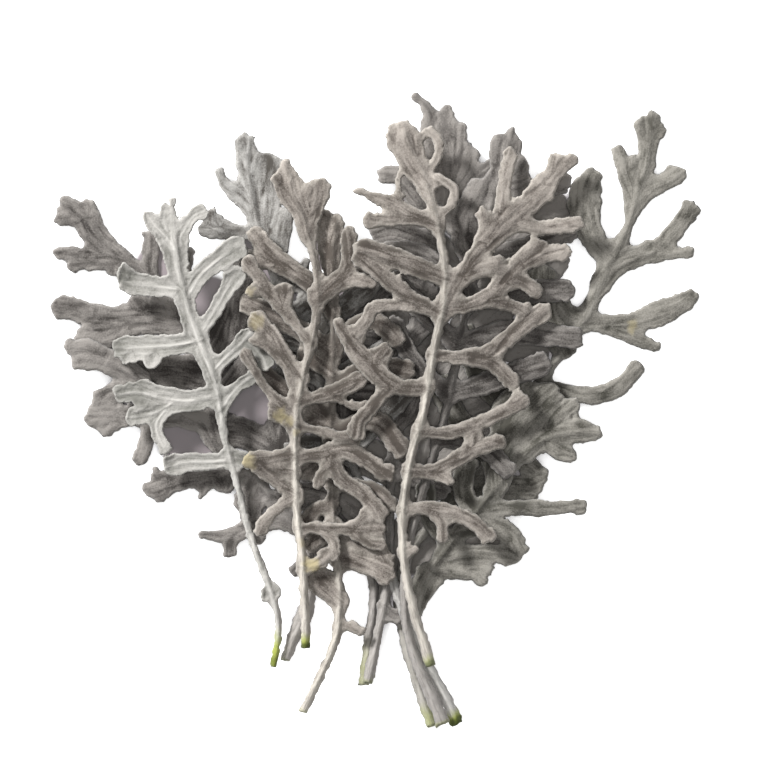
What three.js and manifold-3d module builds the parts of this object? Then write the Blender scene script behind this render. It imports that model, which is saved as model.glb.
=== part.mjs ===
// A bunch of cut dusty miller leaves lying on a table, fanned out from their gathered stalks.
// Every leaf grew in one piece, stalk, midrib and lobes together, so each is one closed solid.
// Sizes in millimetres, +Z up. The lowest leaves lie on z = 0 and the others drape over them.
import * as THREE from "three";
import { mergeVertices } from "three/addons/utils/BufferGeometryUtils.js";
import Module from "manifold-3d";

// ---- driving sizes, mm ----
const STALK_THICK = 2.4;
const RIB_THICK_AT_TIP = 1.5;
const LOBE_THICK = 1.15;
const FINGER_THICK = 0.95;
const RESTING_GAP = 0.38;
const LOBE_STEP = 11.6;
// A finger up to this long is one straight piece.
const SHORT_FINGER = 7;
const RIB_STEP = 12.4;
// A lobe narrows over the last part of its length, this many of its widths long.
const TIP_LENGTH = 0.42;
const TIP_WIDTH = 0.5;
const RIB_TIP_WIDTH = 0.6;
// Rows of one lobe lie no closer than this part of its length.
const CLOSEST_ROWS = 0.04;

// ---- how the leaves bend ----
// A held-up leaf sags away from the point that holds it by this much per square millimetre.
const SAG = 0.0034;
// How far a lobe's tip curls up from the plane of the leaf, smallest and largest.
const CURL_LOW = 0.3;
const CURL_HIGH = 2.4;
const MIDRIB_CURL = 2.0;
// A leaf is let down in rounds until nothing moves by more than SETTLED.
const SETTLING_ROUNDS = 60;
const SETTLED = 0.01;
const SMALLEST_LIFT = 0.005;

// ---- map of the heights already taken by the leaves below ----
const MAP_STEP = 0.5;
const MAP_WEST = -112;
const MAP_SOUTH = -118;
const MAP_COLUMNS = 448;
const MAP_ROWS = 440;
const MAP_REACH = 0.3;
const WALK_STEP = 0.8;

// ---- colours of the felted leaves ----
const SILVER_WHITE = "#cfcfc8";
const WARM_SILVER = "#a39d97";
const SHADED_SILVER = "#8b8580";
const GREEN_SILVER = "#86857c";

// ---- the leaves, from the lowest to the top one ----
// Each leaf has its midrib from the cut end of the stalk to the tip, then its lobes and their
// fingers. A line is its full width and the points of its middle, some with a width of their own
// where the blade is webbed or drawn out thin. A lobe starts on the line that it grows from. All
// points are seen from above.
const LEAVES = [
  {
    name: "leaf_low_middle",
    colour: SHADED_SILVER,
    curl: 0.4,
    midrib: [3.2, [-3, -89.6], [-1.8, -81], [0, -71], [2, -61, 5], [5.2, -48, 5], [10, -34],
      [14, -20], [18, -6], [22.6, 8], [28, 22], [34.6, 36], [42, 50]],
    lobes: [
      [9, [2, -60], [-5, -53.6], [-12, -51.6], [-19.4, -48.4]],
      [12, [3.6, -54], [-3, -43], [-9, -37.6], [-17.6, -35]],
      [12, [10, -34], [2, -26], [-6, -22.6], [-21, -19]],
      [12, [16, -13], [7, -11], [-2, -5], [-14, 2]],
      [12, [22.6, 8], [13, 13], [3, 18.6], [-8, 23.6]],
      [10, [28, 22], [14, 27.4], [4, 30.4], [-6.6, 32.4]],
      [11, [31, 30], [22.6, 35], [15, 40], [6, 42.6]],
      [10, [4, -56], [12, -53.4], [22, -48.8], [36, -47.2, 6]],
      [8, [6, -46], [14, -43.4], [23, -43]],
      [14, [12, -28], [24, -21], [35, -17]],
      [12, [15, -16], [23, -8.6], [31, -4.4], [39, -1]],
      [12, [20, 2], [28, 9], [37, 11.4], [51, 9.6]],
      [13, [26, 14], [34, 21.8], [43, 29.4], [55.4, 37, 7]],
      [10, [36, 39], [42, 45], [47, 49.6], [57, 52.4]],
    ],
  },
  {
    name: "leaf_far_left",
    colour: SHADED_SILVER,
    curl: 0.6,
    midrib: [3.2, [-4.8, -91.8], [-3.8, -83], [-2.9, -75], [-1.8, -66], [-3, -57], [-9, -46],
      [-18, -35], [-28, -25], [-37, -17.8], [-44, -13.2], [-48.8, -7.6], [-51.6, 1], [-58, 13],
      [-65, 24], [-71, 32], [-77, 36], [-82, 39.5], [-86, 45], [-91, 50.5]],
    lobes: [
      [7.8, [-79, 37], [-83.6, 41, 7.6], [-87.2, 45.6, 8], [-89.2, 50, 7.4]],
      [4.4, [-86.4, 47], [-87.4, 50.6], [-87.2, 54.2]],
      [5.2, [-87.5, 48.5], [-91.6, 51.2], [-96.4, 53.8]],
      [4.4, [-87.5, 47.6], [-92.4, 48.8], [-97.8, 48]],
      [6.4, [-75.4, 35.6], [-82, 36.6, 6.6], [-89, 37]],
      [3.8, [-83, 37.6], [-90, 38], [-98.5, 38.2]],
      [3.4, [-82, 36], [-88, 35.2], [-94.2, 34.4]],
      [4.4, [-77, 36], [-79, 33.8], [-79.3, 31]],
      [11, [-60, 17.6], [-69, 18.6], [-79, 18, 9], [-89, 18.4, 7.4]],
      [7, [-84, 19.4], [-91, 21], [-98.4, 22.2]],
      [7.4, [-73, 14], [-83, 12.4], [-92, 12.2, 4]],
      [7, [-70, 19], [-72.6, 22], [-74.2, 25]],
      [7, [-59.5, 15.5], [-62.4, 26.6]],
      [5.4, [-65, 24], [-69.2, 33], [-69, 40], [-69.4, 45.2, 4.4]],
      [11.4, [-50, 1], [-60, 2.6], [-69, 2.8], [-79.6, 2, 7]],
      [8.6, [-48, -2], [-43.4, 7], [-41.8, 20], [-40, 39.6]],
      [8, [-53, 5.4], [-50, 13], [-46.6, 22.4]],
      [4.4, [-62, 19.6], [-59.6, 30], [-57.4, 39.6, 3.4]],
      [11, [-29, -24], [-29.2, -14], [-25.4, -5], [-22, 4]],
      [8, [-25, -4], [-25, 8], [-24, 20]],
      [8, [-43, 8], [-38.4, 14], [-35.6, 26.6]],
      [9, [-34.6, -16.2, 9], [-42, -15.8, 9], [-48.4, -15.4]],
      [12, [-18, -35], [-13, -24], [-12, -12], [-12, 7]],
    ],
  },
  {
    name: "leaf_far_right",
    colour: GREEN_SILVER,
    curl: 0.6,
    midrib: [3.4, [15.7, -104.5], [12.4, -95], [9.3, -85], [6.7, -75], [5.7, -66], [7, -56],
      [13, -46], [22, -35], [32, -23], [41.6, -11], [49.2, 0], [55.4, 10], [61.8, 19, 5.2],
      [65, 26, 4.6], [67.6, 32, 5], [71.4, 39.4, 5.6], [74.5, 46, 3], [76, 51, 3.2],
      [77.2, 56, 5], [79.6, 63, 6], [80.8, 70, 5], [82, 80.2, 4.6]],
    lobes: [
      [4.4, [80.6, 70], [79.4, 74], [78, 77.6]],
      [3.8, [81.2, 71], [83, 74.2], [85.2, 76.2]],
      [4.6, [76.6, 53], [74.4, 60, 4.8], [71.2, 70.3, 3.6]],
      [5, [78, 57], [76.4, 62], [76, 66.8]],
      [5.8, [76.4, 52], [81, 57.2], [86, 59.8, 5.8], [91, 63]],
      [7.4, [66, 28.6], [71, 34.6, 7.6], [78, 37.4, 6.4], [84.6, 39.5, 5.4]],
      [5.4, [80, 38.2], [85, 41], [90, 46.2], [94.4, 53.2]],
      [4.2, [80, 37.8], [87, 38.2, 4.2], [94.8, 38.8, 2.8]],
      [9, [70, 36], [65.2, 41, 7.4], [61.8, 48.6, 9.4], [61.7, 55, 10.4], [64.4, 63, 3.6]],
      [6, [60.6, 16.8], [68, 16.8, 5.4], [76, 17.6, 5.4], [84, 20, 8], [90, 22.6, 6.6], [95, 25.6, 4]],
      [5, [68, 16.4], [76, 13, 4.8], [84.2, 9.5, 3]],
      [5.6, [49, -0.8], [56, -3.7], [65, -4.5], [72, -2], [79, 5.2, 4.6]],
      [6.4, [62, 18.6], [57, 19.8], [53, 24]],
      [10, [55, 10], [51.4, 16], [49, 24], [48.4, 34]],
      [8.6, [42, -11], [35, -4], [29.5, 4], [24, 16]],
      [7.6, [32, -23], [25.5, -14], [20, -6], [17.5, 1]],
      [5.6, [32, -23], [39, -22], [44, -25], [49.8, -28.6, 2]],
      [8, [22, -35], [30, -32], [39, -32.4], [47.6, -33, 6.4]],
      [3.8, [40, -31.5], [46, -30.8], [50.2, -28.8, 2]],
    ],
  },
  {
    name: "leaf_low_left",
    colour: SHADED_SILVER,
    curl: 0.7,
    midrib: [3.1, [-28.6, -84.8], [-26.2, -78, 3.6], [-23.2, -71.6, 5.2], [-21.1, -63, 3.6], [-22.2, -50],
      [-28.6, -40], [-37.5, -30], [-47.5, -20.5], [-57, -12], [-66, -5], [-74, 1.5], [-82, 5.5]],
    lobes: [
      [8, [-72, 0], [-79, 4.4], [-86, 6.2, 7], [-92.2, 5.8, 5.4]],
      [5, [-80, 6], [-87, 9.8], [-94.6, 10, 3.6]],
      [6, [-64, -6], [-73, -3.2], [-79.5, -4], [-85.8, -6.6]],
      [6.4, [-57, -12], [-66, -11], [-76, -11], [-88.6, -11.2]],
      [4, [-77, -12], [-80, -13.6], [-83.2, -16.4]],
      [4.8, [-66.4, -11], [-69.4, -15.4], [-70.8, -19.4], [-72.6, -25.2, 3.6]],
      [6.4, [-40, -26.4], [-48, -29], [-57, -29.8, 5.4], [-65, -31.6, 6], [-70.8, -33.6, 4]],
      [3.4, [-62, -31], [-65.6, -34], [-66.4, -36.6, 1.6]],
      [3.4, [-61, -30.6], [-66, -29.2], [-67.8, -26.4, 1.8]],
      [3.4, [-50, -30], [-53, -32.2], [-54.2, -35.3, 1.4]],
      [3.6, [-43.5, -29], [-46.6, -31], [-47.2, -34.2]],
      [8, [-49, -19], [-53, -11.6], [-61, -9]],
      [6.2, [-50.4, -17.6], [-49.8, -10], [-47, -4], [-43, 1.6], [-38.4, 7.6]],
      [9, [-31, -37], [-25, -35], [-18, -36.6], [-14.5, -42, 6]],
      [5.2, [-25, -45], [-31, -42.8], [-37.4, -43.6], [-46, -46.8, 4], [-54.4, -47, 1.8]],
      [3.4, [-41, -45.5], [-44.4, -48.6], [-45.4, -53.6]],
      [3.4, [-36, -43.6], [-36.6, -46], [-36.4, -48.4, 2]],
      [8, [-37.4, -30], [-39.6, -35], [-39, -41]],
      [3.2, [-21.5, -57], [-24.6, -56], [-26.2, -58.4]],
    ],
  },
  {
    name: "leaf_back_top",
    colour: SHADED_SILVER,
    curl: 0.8,
    midrib: [3.1, [-3.8, -91.3], [-2, -83], [-0.6, -76], [1.3, -67], [2.6, -56], [3, -44],
      [3.2, -32], [4, -18], [6, -3], [9, 12], [12.5, 27], [16, 41], [19.4, 54], [19.6, 66],
      [17, 76]],
    lobes: [
      [9.4, [18, 49], [20, 59, 9.4], [19.6, 69, 9.6], [17, 79, 7]],
      [6.4, [16.4, 62], [15, 70], [15.2, 79, 5.4], [13, 83.4, 2.8], [9.8, 86.2, 1.4]],
      [4.4, [20, 67], [21, 75], [20.3, 82.8, 2.6]],
      [5, [20.5, 60], [23.4, 69], [24.4, 77.2, 3]],
      [5.8, [20.5, 57], [25.2, 63], [27.4, 70.4]],
      [5.6, [19.5, 54], [26.5, 58], [31.5, 62.5], [37, 65.5]],
      [5.2, [19, 54], [13, 57.5], [8, 61.3], [-0.4, 61.7]],
      [8.2, [16, 41], [9, 43.2], [2.6, 45], [-2.2, 43.6]],
      [7.4, [12.5, 27], [5, 30], [0, 27], [-5, 16.5]],
      [7.4, [9, 12], [1, 11.6], [-6, 12.6], [-16.5, 16.5]],
      [7.4, [6, -3], [-2, -4.6], [-10, -3.4], [-21, 1.5]],
      [6, [3.6, -26], [9, -29], [15, -31.4], [20.5, -34.4]],
      [6, [4.4, -14], [9.4, -9], [12.4, 3]],
      [6.4, [9, 12], [14, 17.4], [16, 28]],
      [4.6, [1.3, -68], [4, -70.8], [7.4, -70.6]],
    ],
  },
  {
    name: "leaf_low_right",
    colour: GREEN_SILVER,
    curl: 0.8,
    midrib: [3.4, [12.4, -83.5], [10.7, -75], [11.3, -67], [15.2, -58], [21, -49.4], [28, -40.6],
      [35, -32], [42, -24], [49, -18], [57, -16, 4.6], [67.2, -16, 3.6]],
    lobes: [
      [7.4, [44, -21.5], [51, -16.5], [58, -15.2], [63, -15.6]],
      [5.4, [48.5, -17], [53.5, -11], [59, -6.6]],
      [5, [49.5, -18.5], [54, -21.4], [58.9, -23.4]],
      [4.9, [29, -39], [38, -38.4], [48, -38.6], [62, -38, 3.4]],
      [6.4, [24, -45], [31, -44], [38, -45.6], [42.6, -53]],
      [5.6, [18.6, -53], [26, -52.2], [34, -52.2], [41.4, -53.4]],
      [5.6, [15.6, -57], [22, -57.4], [27.6, -58, 4.6], [31.2, -61, 2.2]],
      [3.8, [24, -57], [29, -56], [34, -57]],
      [8, [11.4, -66], [13, -62], [16, -56.6]],
      [6, [21, -49.4], [15.6, -42.6], [13, -30]],
      [6.6, [28, -40.6], [25, -33], [26, -22.5]],
      [9.4, [35, -32], [35.6, -22], [42, -12.6], [52.5, -2.6]],
      [6, [36, -19], [35.4, -11], [39.6, -5], [44, 0.4]],
    ],
  },
  {
    name: "leaf_back_left",
    colour: GREEN_SILVER,
    curl: 0.9,
    midrib: [3.3, [23.4, -103.6, 4.2], [18.8, -93.8, 3.8], [13.4, -84.6, 3.4], [9.1, -75],
      [5.4, -65], [1.4, -52], [-3.6, -38], [-9.6, -22], [-16, -5], [-22.6, 11], [-29, 26],
      [-34, 38], [-37.2, 48], [-39.2, 58], [-40.4, 68]],
    lobes: [
      [6, [-36.6, 46], [-38.8, 56], [-40.4, 66], [-40.6, 73.8]],
      [5.4, [-38.2, 51], [-42.4, 56, 6.4], [-46.4, 59, 3.8], [-48.5, 63.2, 2.2]],
      [4.6, [-40, 60], [-38.4, 63.6], [-36.6, 67.8]],
      [6.2, [-33.6, 37], [-34.8, 47], [-34.6, 57], [-32.8, 67.8, 3.8]],
      [3, [-31.6, 42], [-31, 54], [-30.6, 66]],
      [4.2, [-30.2, 30], [-29.6, 40], [-27.6, 51.4]],
      [4.8, [-36, 43], [-42, 44.4], [-48, 45.2, 5.4], [-54, 45.6, 4]],
      [5, [-47, 45], [-49.8, 47.4], [-51, 51, 3]],
      [5.6, [-29, 26], [-25, 30.4], [-21.9, 36.2, 2.2]],
      [7.4, [-26, 18.6], [-21.4, 23], [-17, 29]],
      [7.2, [-22.6, 11], [-15, 18.4], [-9, 23.4], [-1, 31]],
      [7.2, [-16, -5], [-9, 2.6], [-2, 6.6], [8, 14]],
      [6.6, [-9.6, -22], [-3, -15], [2.6, -9.4], [11, 1]],
      [6, [-22.6, 11], [-30, 12], [-37, 12.4], [-42.4, 11]],
      [5.6, [-19, 2], [-25, 1.4], [-31, 3]],
      [7.4, [-9.6, -22], [-16, -20.4], [-22, -20], [-28, -23.4]],
    ],
  },
  {
    name: "leaf_back_right",
    colour: SHADED_SILVER,
    curl: 0.9,
    midrib: [3, [19, -103.2, 4.4], [15.2, -94, 4], [10.8, -84, 3.2], [8, -74], [7.4, -62], [9, -48],
      [13, -33], [17.4, -18], [21, -4], [23.6, 10], [26.6, 24], [29.6, 38], [32.6, 50],
      [35.6, 60], [37.6, 67], [39.8, 75.8]],
    lobes: [
      [7.2, [31, 45], [34.4, 56], [38, 67], [39.6, 73]],
      [4, [35.6, 62], [35, 69], [36.2, 73.6]],
      [5.6, [36.6, 60], [40.4, 63], [42.8, 67]],
      [6, [36, 56], [41, 58.6], [45, 60.6]],
      [7.4, [28, 33], [25, 42], [26.4, 51], [31.6, 60.4]],
      [6.4, [32.6, 50], [40, 52.4], [47, 56], [56.6, 60.6]],
      [6.4, [29.6, 38], [38, 38.6], [47, 41], [58.6, 45.6]],
      [6.8, [26.6, 24], [35, 24.6], [44, 26.4], [58, 27]],
      [7.6, [23.6, 10], [32, 13], [41, 14.4], [60.6, 12.2, 6.4]],
      [7.2, [21, -4], [29, -2], [38, 1.4], [51, 5.2]],
      [6, [17.4, -18], [25, -18.6], [32, -21], [39.6, -29]],
      [7, [26.6, 24], [20, 31.4], [13, 37], [1, 39]],
      [6.4, [29.6, 38], [22, 47], [14, 51.6], [6.4, 61.4]],
      [6.6, [23.6, 10], [17, 17], [11.6, 22], [2.6, 31.6]],
      [5.6, [21, -4], [14, 1.4], [9, 7.6], [3.4, 18.6]],
    ],
  },
  {
    name: "leaf_back_middle",
    colour: WARM_SILVER,
    curl: 0.9,
    midrib: [2.7, [-23.2, -100], [-19, -91], [-15.2, -83], [-12.8, -75], [-12.2, -65],
      [-12.6, -55], [-13.8, -44], [-14.6, -32], [-15, -18], [-14.6, -4], [-14.2, 10],
      [-14.2, 22], [-14.4, 32], [-14, 41], [-12.9, 49.4]],
    lobes: [
      [5.6, [-14.3, 28], [-14.6, 38], [-13.2, 47.6]],
      [3.8, [-14.6, 35], [-17, 42], [-16.8, 51]],
      [6.4, [-14.8, -12], [-21.6, -7], [-28, -3.6], [-37.4, 3]],
      [6.6, [-14.2, 8], [-20.6, 13], [-27.6, 17], [-41.6, 23.8]],
      [6, [-14.4, 2], [-19.4, 5.6], [-24.4, 8]],
      [5.4, [-14.9, -14], [-19.6, -12.8], [-24, -13.6]],
      [6, [-14.8, -22.5], [-19, -26], [-23.4, -29]],
      [6.4, [-14.2, 20], [-20.2, 28.4], [-27, 33.2], [-33.4, 38.4], [-38.6, 45, 5]],
      [4.4, [-29, 34.4], [-35, 35.2], [-42, 36]],
      [6.6, [-14.6, -4], [-8, 1.4], [-1, 3.6], [10, 2.6]],
      [6, [-14.2, 8], [-8, 15.4], [-2, 17.6], [6.4, 11.4]],
      [6.6, [-15, -18], [-8, -13.6], [-1, -12.4], [7.4, -22.4]],
      [6, [-14.6, -30], [-8, -32], [-1, -34], [4.4, -39]],
      [5.6, [-13.8, -44], [-7, -48], [-1, -50.4], [3, -55]],
      [7, [-12.5, -52.6], [-7, -54.4], [-1, -56.4], [4, -59.4]],
      [5, [-14.3, -37], [-19.6, -39.6], [-24, -46]],
      [5, [-13.8, -44], [-18.4, -47], [-22, -51]],
      [8, [-12.3, -66], [-16, -62.4], [-20.6, -57.4]],
      [3, [-12.5, -73], [-9, -73.7], [-4.8, -76]],
    ],
  },
  {
    name: "leaf_front_left",
    colour: SILVER_WHITE,
    curl: 1.0,
    midrib: [2.6, [-32.1, -86.6, 2.1], [-30.7, -78, 2.1], [-30.9, -71, 2.2], [-33, -63, 2.4],
      [-36.4, -54, 2.4], [-39.4, -45], [-41.6, -36], [-44, -27], [-46.4, -18], [-47.8, -9],
      [-50, 2], [-53.6, 12], [-57.4, 22], [-59.8, 32], [-61.2, 42], [-62.7, 55, 1.6]],
    lobes: [
      [5, [-50.2, 0, 4.4], [-53, 8, 5.2], [-55.4, 14, 5], [-58.2, 22, 5.4], [-60.6, 32, 6],
        [-61.8, 40, 8], [-63, 46, 9]],
      [3, [-33, -63.8], [-31.8, -63.4], [-30.4, -63.2]],
      [3.2, [-32.8, -64], [-34, -64.8], [-34.8, -66]],
      [4.8, [-60.8, 37.6], [-64.4, 43.4], [-67.4, 46.4], [-70.2, 50.3, 2.6]],
      [3.6, [-62.4, 42.4], [-64.6, 46.8], [-64.4, 52.4, 1.6]],
      [6.6, [-59, 27], [-65, 27.8], [-71, 28.6], [-77.2, 29.6]],
      [4.6, [-73.4, 29], [-76, 31], [-76.6, 34.9]],
      [7, [-55, 11.5], [-62, 10.4], [-69, 10], [-80, 9.8]],
      [3.8, [-66, 9], [-68, 6.4], [-68.6, 3.6]],
      [4, [-72.5, 8.6], [-75.2, 7], [-76.6, 5.4]],
      [7.2, [-51, -5], [-58, -6.2], [-66, -5.4], [-73.5, -3.2]],
      [5.6, [-67, -4.4], [-73, -3.6], [-79.6, -4.8]],
      [4.6, [-61, -7.4], [-68, -10], [-76.6, -11.4]],
      [3.8, [-62.5, -9], [-67, -13.6], [-64, -22.4]],
      [6, [-46, -24.5], [-52, -24.6], [-58, -24.8], [-64.4, -26.4]],
      [4.2, [-60.8, 39], [-58.8, 44.6], [-55.8, 49], [-51.8, 51]],
      [5, [-57.8, 24.6], [-53.8, 31.2, 5.6], [-48.6, 35.8, 6.4], [-44, 39, 7.2], [-41.4, 41, 6]],
      [4.2, [-54, 13.4], [-49.6, 20.4, 4.2], [-46.4, 26.2, 4.6], [-43.2, 30.6, 6], [-41, 31.8, 5]],
      [4.8, [-50.4, 2.4], [-46.2, 6.6], [-42, 10.4], [-38.4, 14.6]],
      [5, [-41, 11.2], [-37.2, 9.4], [-34.8, 6.6], [-34, 3]],
      [3.6, [-47.8, -9.4], [-44.6, -4.4], [-41.4, -1], [-37, 1.6]],
      [4.2, [-45, -23.4], [-41.6, -23.4], [-38, -25.8]],
    ],
  },
  {
    name: "leaf_front_middle",
    colour: WARM_SILVER,
    curl: 1.1,
    midrib: [3, [-22.3, -80.4], [-22.5, -70], [-23, -60], [-23.6, -50], [-24.8, -41],
      [-25.3, -30], [-25.4, -15], [-24, -3], [-21.3, 8], [-19.4, 17], [-18.6, 25], [-19, 33],
      [-20.8, 41], [-23.2, 48], [-26, 55], [-28.6, 65.6]],
    lobes: [
      [8, [-21, 43, 4], [-23.4, 50, 6], [-26.8, 56, 8], [-28, 61.6]],
      [3.6, [-26.8, 56], [-30.2, 59.4], [-32, 61.4]],
      [5.6, [-21.4, 44], [-19.9, 50], [-18.2, 55, 6], [-17.4, 60, 5]],
      [3.6, [-20.6, 49], [-22, 53.6], [-20.4, 58.4]],
      [4.4, [-20.4, 11], [-26, 17.6], [-31.5, 24.6], [-36, 30.4], [-41, 36.8, 4.6]],
      [5.2, [-24, 0.5], [-27.2, 6, 4.2], [-31.6, 12.4], [-35.5, 16.4, 6], [-38.4, 18.8, 5]],
      [2.4, [-25.4, -7], [-26.4, -2], [-28, 3], [-31, 7.4], [-35, 10.4], [-39, 12.4]],
      [3, [-31, 24.6], [-35.6, 26], [-40, 26.6, 3.2]],
      [3.4, [-29.2, 21.8], [-28.6, 24, 4.6], [-27.8, 28.8, 5.6]],
      [4.6, [-25.3, -12], [-29.6, -7.2], [-33.6, -3, 3], [-41.2, 9.6, 4]],
      [5, [-26, -14.5], [-29.4, -10.8], [-33.4, -8.6]],
      [5.4, [-25.6, -22.5], [-31, -23.4], [-36, -23.8], [-40.4, -24.2]],
      [4, [-25.4, -27.5], [-31, -26.8], [-36.4, -25.6]],
      [4.6, [-25.4, -34], [-30.2, -31], [-34, -27.4], [-37.6, -23]],
      [3.8, [-25.2, -35], [-30, -37.8], [-33.6, -41], [-36.8, -46.6]],
      [4.8, [-18.6, 25, 7], [-14, 28.4, 6], [-10, 32.4, 5], [-9.2, 45.2]],
      [4.4, [-13, 29.4], [-7, 30], [-1, 28.6]],
      [5.2, [-23.8, -6.5], [-18.6, -5], [-13, -3.4], [-7, -0.4], [-4.6, 1.4, 4]],
      [3, [-14, -5], [-9, -7.4], [-4, -7.6], [0, -5.4], [1, -2.6]],
      [3.2, [-25.2, -13.6], [-18, -15.4], [-12, -16.8], [-6, -17]],
      [5.4, [-25, -23.5], [-18, -22.4], [-10, -21.4], [3.8, -29]],
      [5.2, [-15, -22.5], [-11.6, -29.6], [-5.6, -33.6], [1.6, -41.4]],
      [3.2, [-14, -25], [-17.4, -28], [-18.8, -32.2]],
      [4, [-24.4, -44.4], [-16, -44.4], [-8, -44.8], [1.8, -44.4]],
      [3, [-8, -44.8], [-5.4, -41.6], [-3.4, -39.4]],
      [3.4, [-18.5, -44.6], [-14, -48.4], [-13.2, -53.4]],
      [3.4, [-9, -45.2], [-4, -48.4], [1.4, -49.8]],
      [4, [-23.2, -56.4], [-19.4, -55.4], [-15, -52]],
    ],
  },
  {
    name: "leaf_front_right",
    colour: WARM_SILVER,
    curl: 1.2,
    midrib: [3.2, [15.3, -85.6], [13.6, -80], [10.4, -70], [8, -60], [6.8, -50], [6.8, -40],
      [8, -30], [10.1, -20], [12.9, -10], [14.7, 0], [16.5, 11], [18.5, 20], [19.5, 28],
      [19, 37], [17.4, 46], [15, 55], [12.6, 62], [9, 69], [6.5, 77.6]],
    lobes: [
      [8.2, [13.6, 59], [10.2, 64.6], [7, 71], [6.4, 75.6, 7]],
      [4, [8, 66], [5.6, 70.6], [3.8, 75.7]],
      [4, [10.6, 64.6], [11.2, 69.4], [10.8, 74.4]],
      [1.8, [13.6, 50.5], [13.4, 56], [10.6, 61], [6.8, 62.2], [5.4, 58.8], [6.6, 54]],
      [3.2, [13, 61], [16.8, 65.6], [17.6, 71], [14.2, 75]],
      [3.2, [17, 48], [21.4, 52.4], [22, 57], [17.2, 60.6]],
      [5.4, [17.4, 46], [9.4, 49.6], [3, 52.8, 5], [-2, 54.6, 3.2], [-7.5, 57, 1.4]],
      [4.2, [12, 48.4], [4, 48], [-4.6, 47.6]],
      [6.6, [19.3, 31], [13, 32.8], [5, 36.2], [-7.2, 40]],
      [5.6, [18, 19.8], [9.6, 24.2], [2.4, 30], [-7, 37.8]],
      [4.2, [13, 22.6], [5, 22.4], [-2, 21.4], [-4.4, 17], [-8, 12]],
      [6.4, [14.4, -2.5], [4, -1.6], [-3, 4.2, 7], [-7.6, 9.6, 6], [-13, 18, 2.8]],
      [5.4, [-2.6, 4], [0, 7.4], [2.4, 9.8]],
      [5, [3, -1.5], [-2.6, -8.6], [-6.2, -12.6], [-7.4, -18]],
      [5.4, [19.2, 21.5], [24, 30], [30, 39], [37, 47.4]],
      [5.6, [24.6, 30.6], [30.4, 33.2], [37.4, 34.8]],
      [9, [32, 42], [37.6, 47.4, 9], [44, 52.6, 7], [51, 60]],
      [4.4, [36.4, 46], [36.8, 54], [37.8, 61.4], [39.4, 69.4]],
      [3.4, [31.8, 41.6], [31.4, 46.6], [30.4, 51.6]],
      [4.8, [40, 47], [46, 45.8], [53, 46], [61, 47.2]],
      [4.4, [46, 54.8], [51.8, 61], [58.4, 67.4]],
      [3.8, [49.5, 58], [51.6, 62.6], [52.6, 67.9]],
      [5.4, [18.9, 20.8], [27, 22.6], [34, 26], [40, 33], [48.6, 41.6]],
      [4.8, [41, 34], [47, 36.4], [51, 37.8], [57, 38.6]],
      [4.4, [37, 29.4], [42.4, 29.4], [48, 25.6]],
      [4.2, [31.5, 24.4], [38, 22.6], [45.5, 19.8]],
      [5.4, [16, 7], [24, 6.8], [31, 7.4], [36.4, 10.8], [42, 15.4], [50.6, 21.8]],
      [5.2, [27, 6.8], [33, 5.2], [37.4, 1.8], [41, -1.8, 4]],
      [4.8, [11.8, -15.4], [21, -15.8], [29, -13.2], [37, -9.4], [44.2, -5.2, 5.4]],
      [4.9, [8.6, -27], [15.4, -27.4], [21.4, -24.6], [28, -20.8], [38, -17.8]],
      [3.2, [25, -22.4], [27.4, -19.6], [28.6, -15.2]],
      [3.4, [15, -27.2], [18, -28.4], [21.4, -31]],
      [4.8, [6.8, -39], [14, -38.4], [22, -39.8], [28, -42.8], [34, -48]],
      [3.4, [14.5, -38.8], [18.2, -42.4], [18.8, -48.3]],
      [2.8, [6.7, -51.6], [8.6, -51.2], [10.8, -50]],
    ],
  },
];

const LOBE_SECTION = [[-1, -1], [1, -1], [1, 1], [-1, 1]];
const RIB_SECTION = [[-1, 0], [-0.62, -1], [0.62, -1], [1, 0], [0.62, 1], [-0.62, 1]];

const wasm = await Module();
wasm.setup();

let seed = 20231;

function random() {
  seed = (seed * 16807) % 2147483647;
  return seed / 2147483647;
}

// Rows across a line of the leaf: where its middle is, which way it heads and its width there.
function rowsAlong(line, step, widthAt, blunt) {
  const places = line.slice(1);
  const curve = new THREE.CatmullRomCurve3(places.map(([x, y, own], i) => {
    const width = own ?? line[0] * widthAt(i / (places.length - 1));
    return new THREE.Vector3(x, y, width);
  }));
  const width = curve.getPoint(1).z;
  const length = curve.getLength();
  const fewest = blunt && length < SHORT_FINGER ? 1 : 2;
  const parts = Math.max(fewest, Math.round(length / step));
  const stops = [];
  for (let i = 0; i < parts; i += 1) {
    stops.push(i / parts);
  }
  const shoulder = 1 - (TIP_LENGTH * width) / length;
  if (blunt && shoulder > stops[parts - 1] + CLOSEST_ROWS) {
    stops.push(shoulder);
  }
  stops.push(1);
  return stops.map((stop) => {
    const place = curve.getPointAt(stop);
    const heading = curve.getTangentAt(stop);
    const run = Math.hypot(heading.x, heading.y);
    const ending = blunt && stop === 1 ? TIP_WIDTH : 1;
    return {
      x: place.x,
      y: place.y,
      z: 0,
      stop,
      side: [-heading.y / run, heading.x / run],
      half: (place.z / 2) * ending,
    };
  });
}

function lobeWidth(stop) {
  return 0.74 + 0.26 * THREE.MathUtils.smoothstep(stop, 0, 0.5);
}

function ribWidth(stop) {
  return 1 - 0.1 * Math.sin(Math.PI * stop);
}

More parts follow.
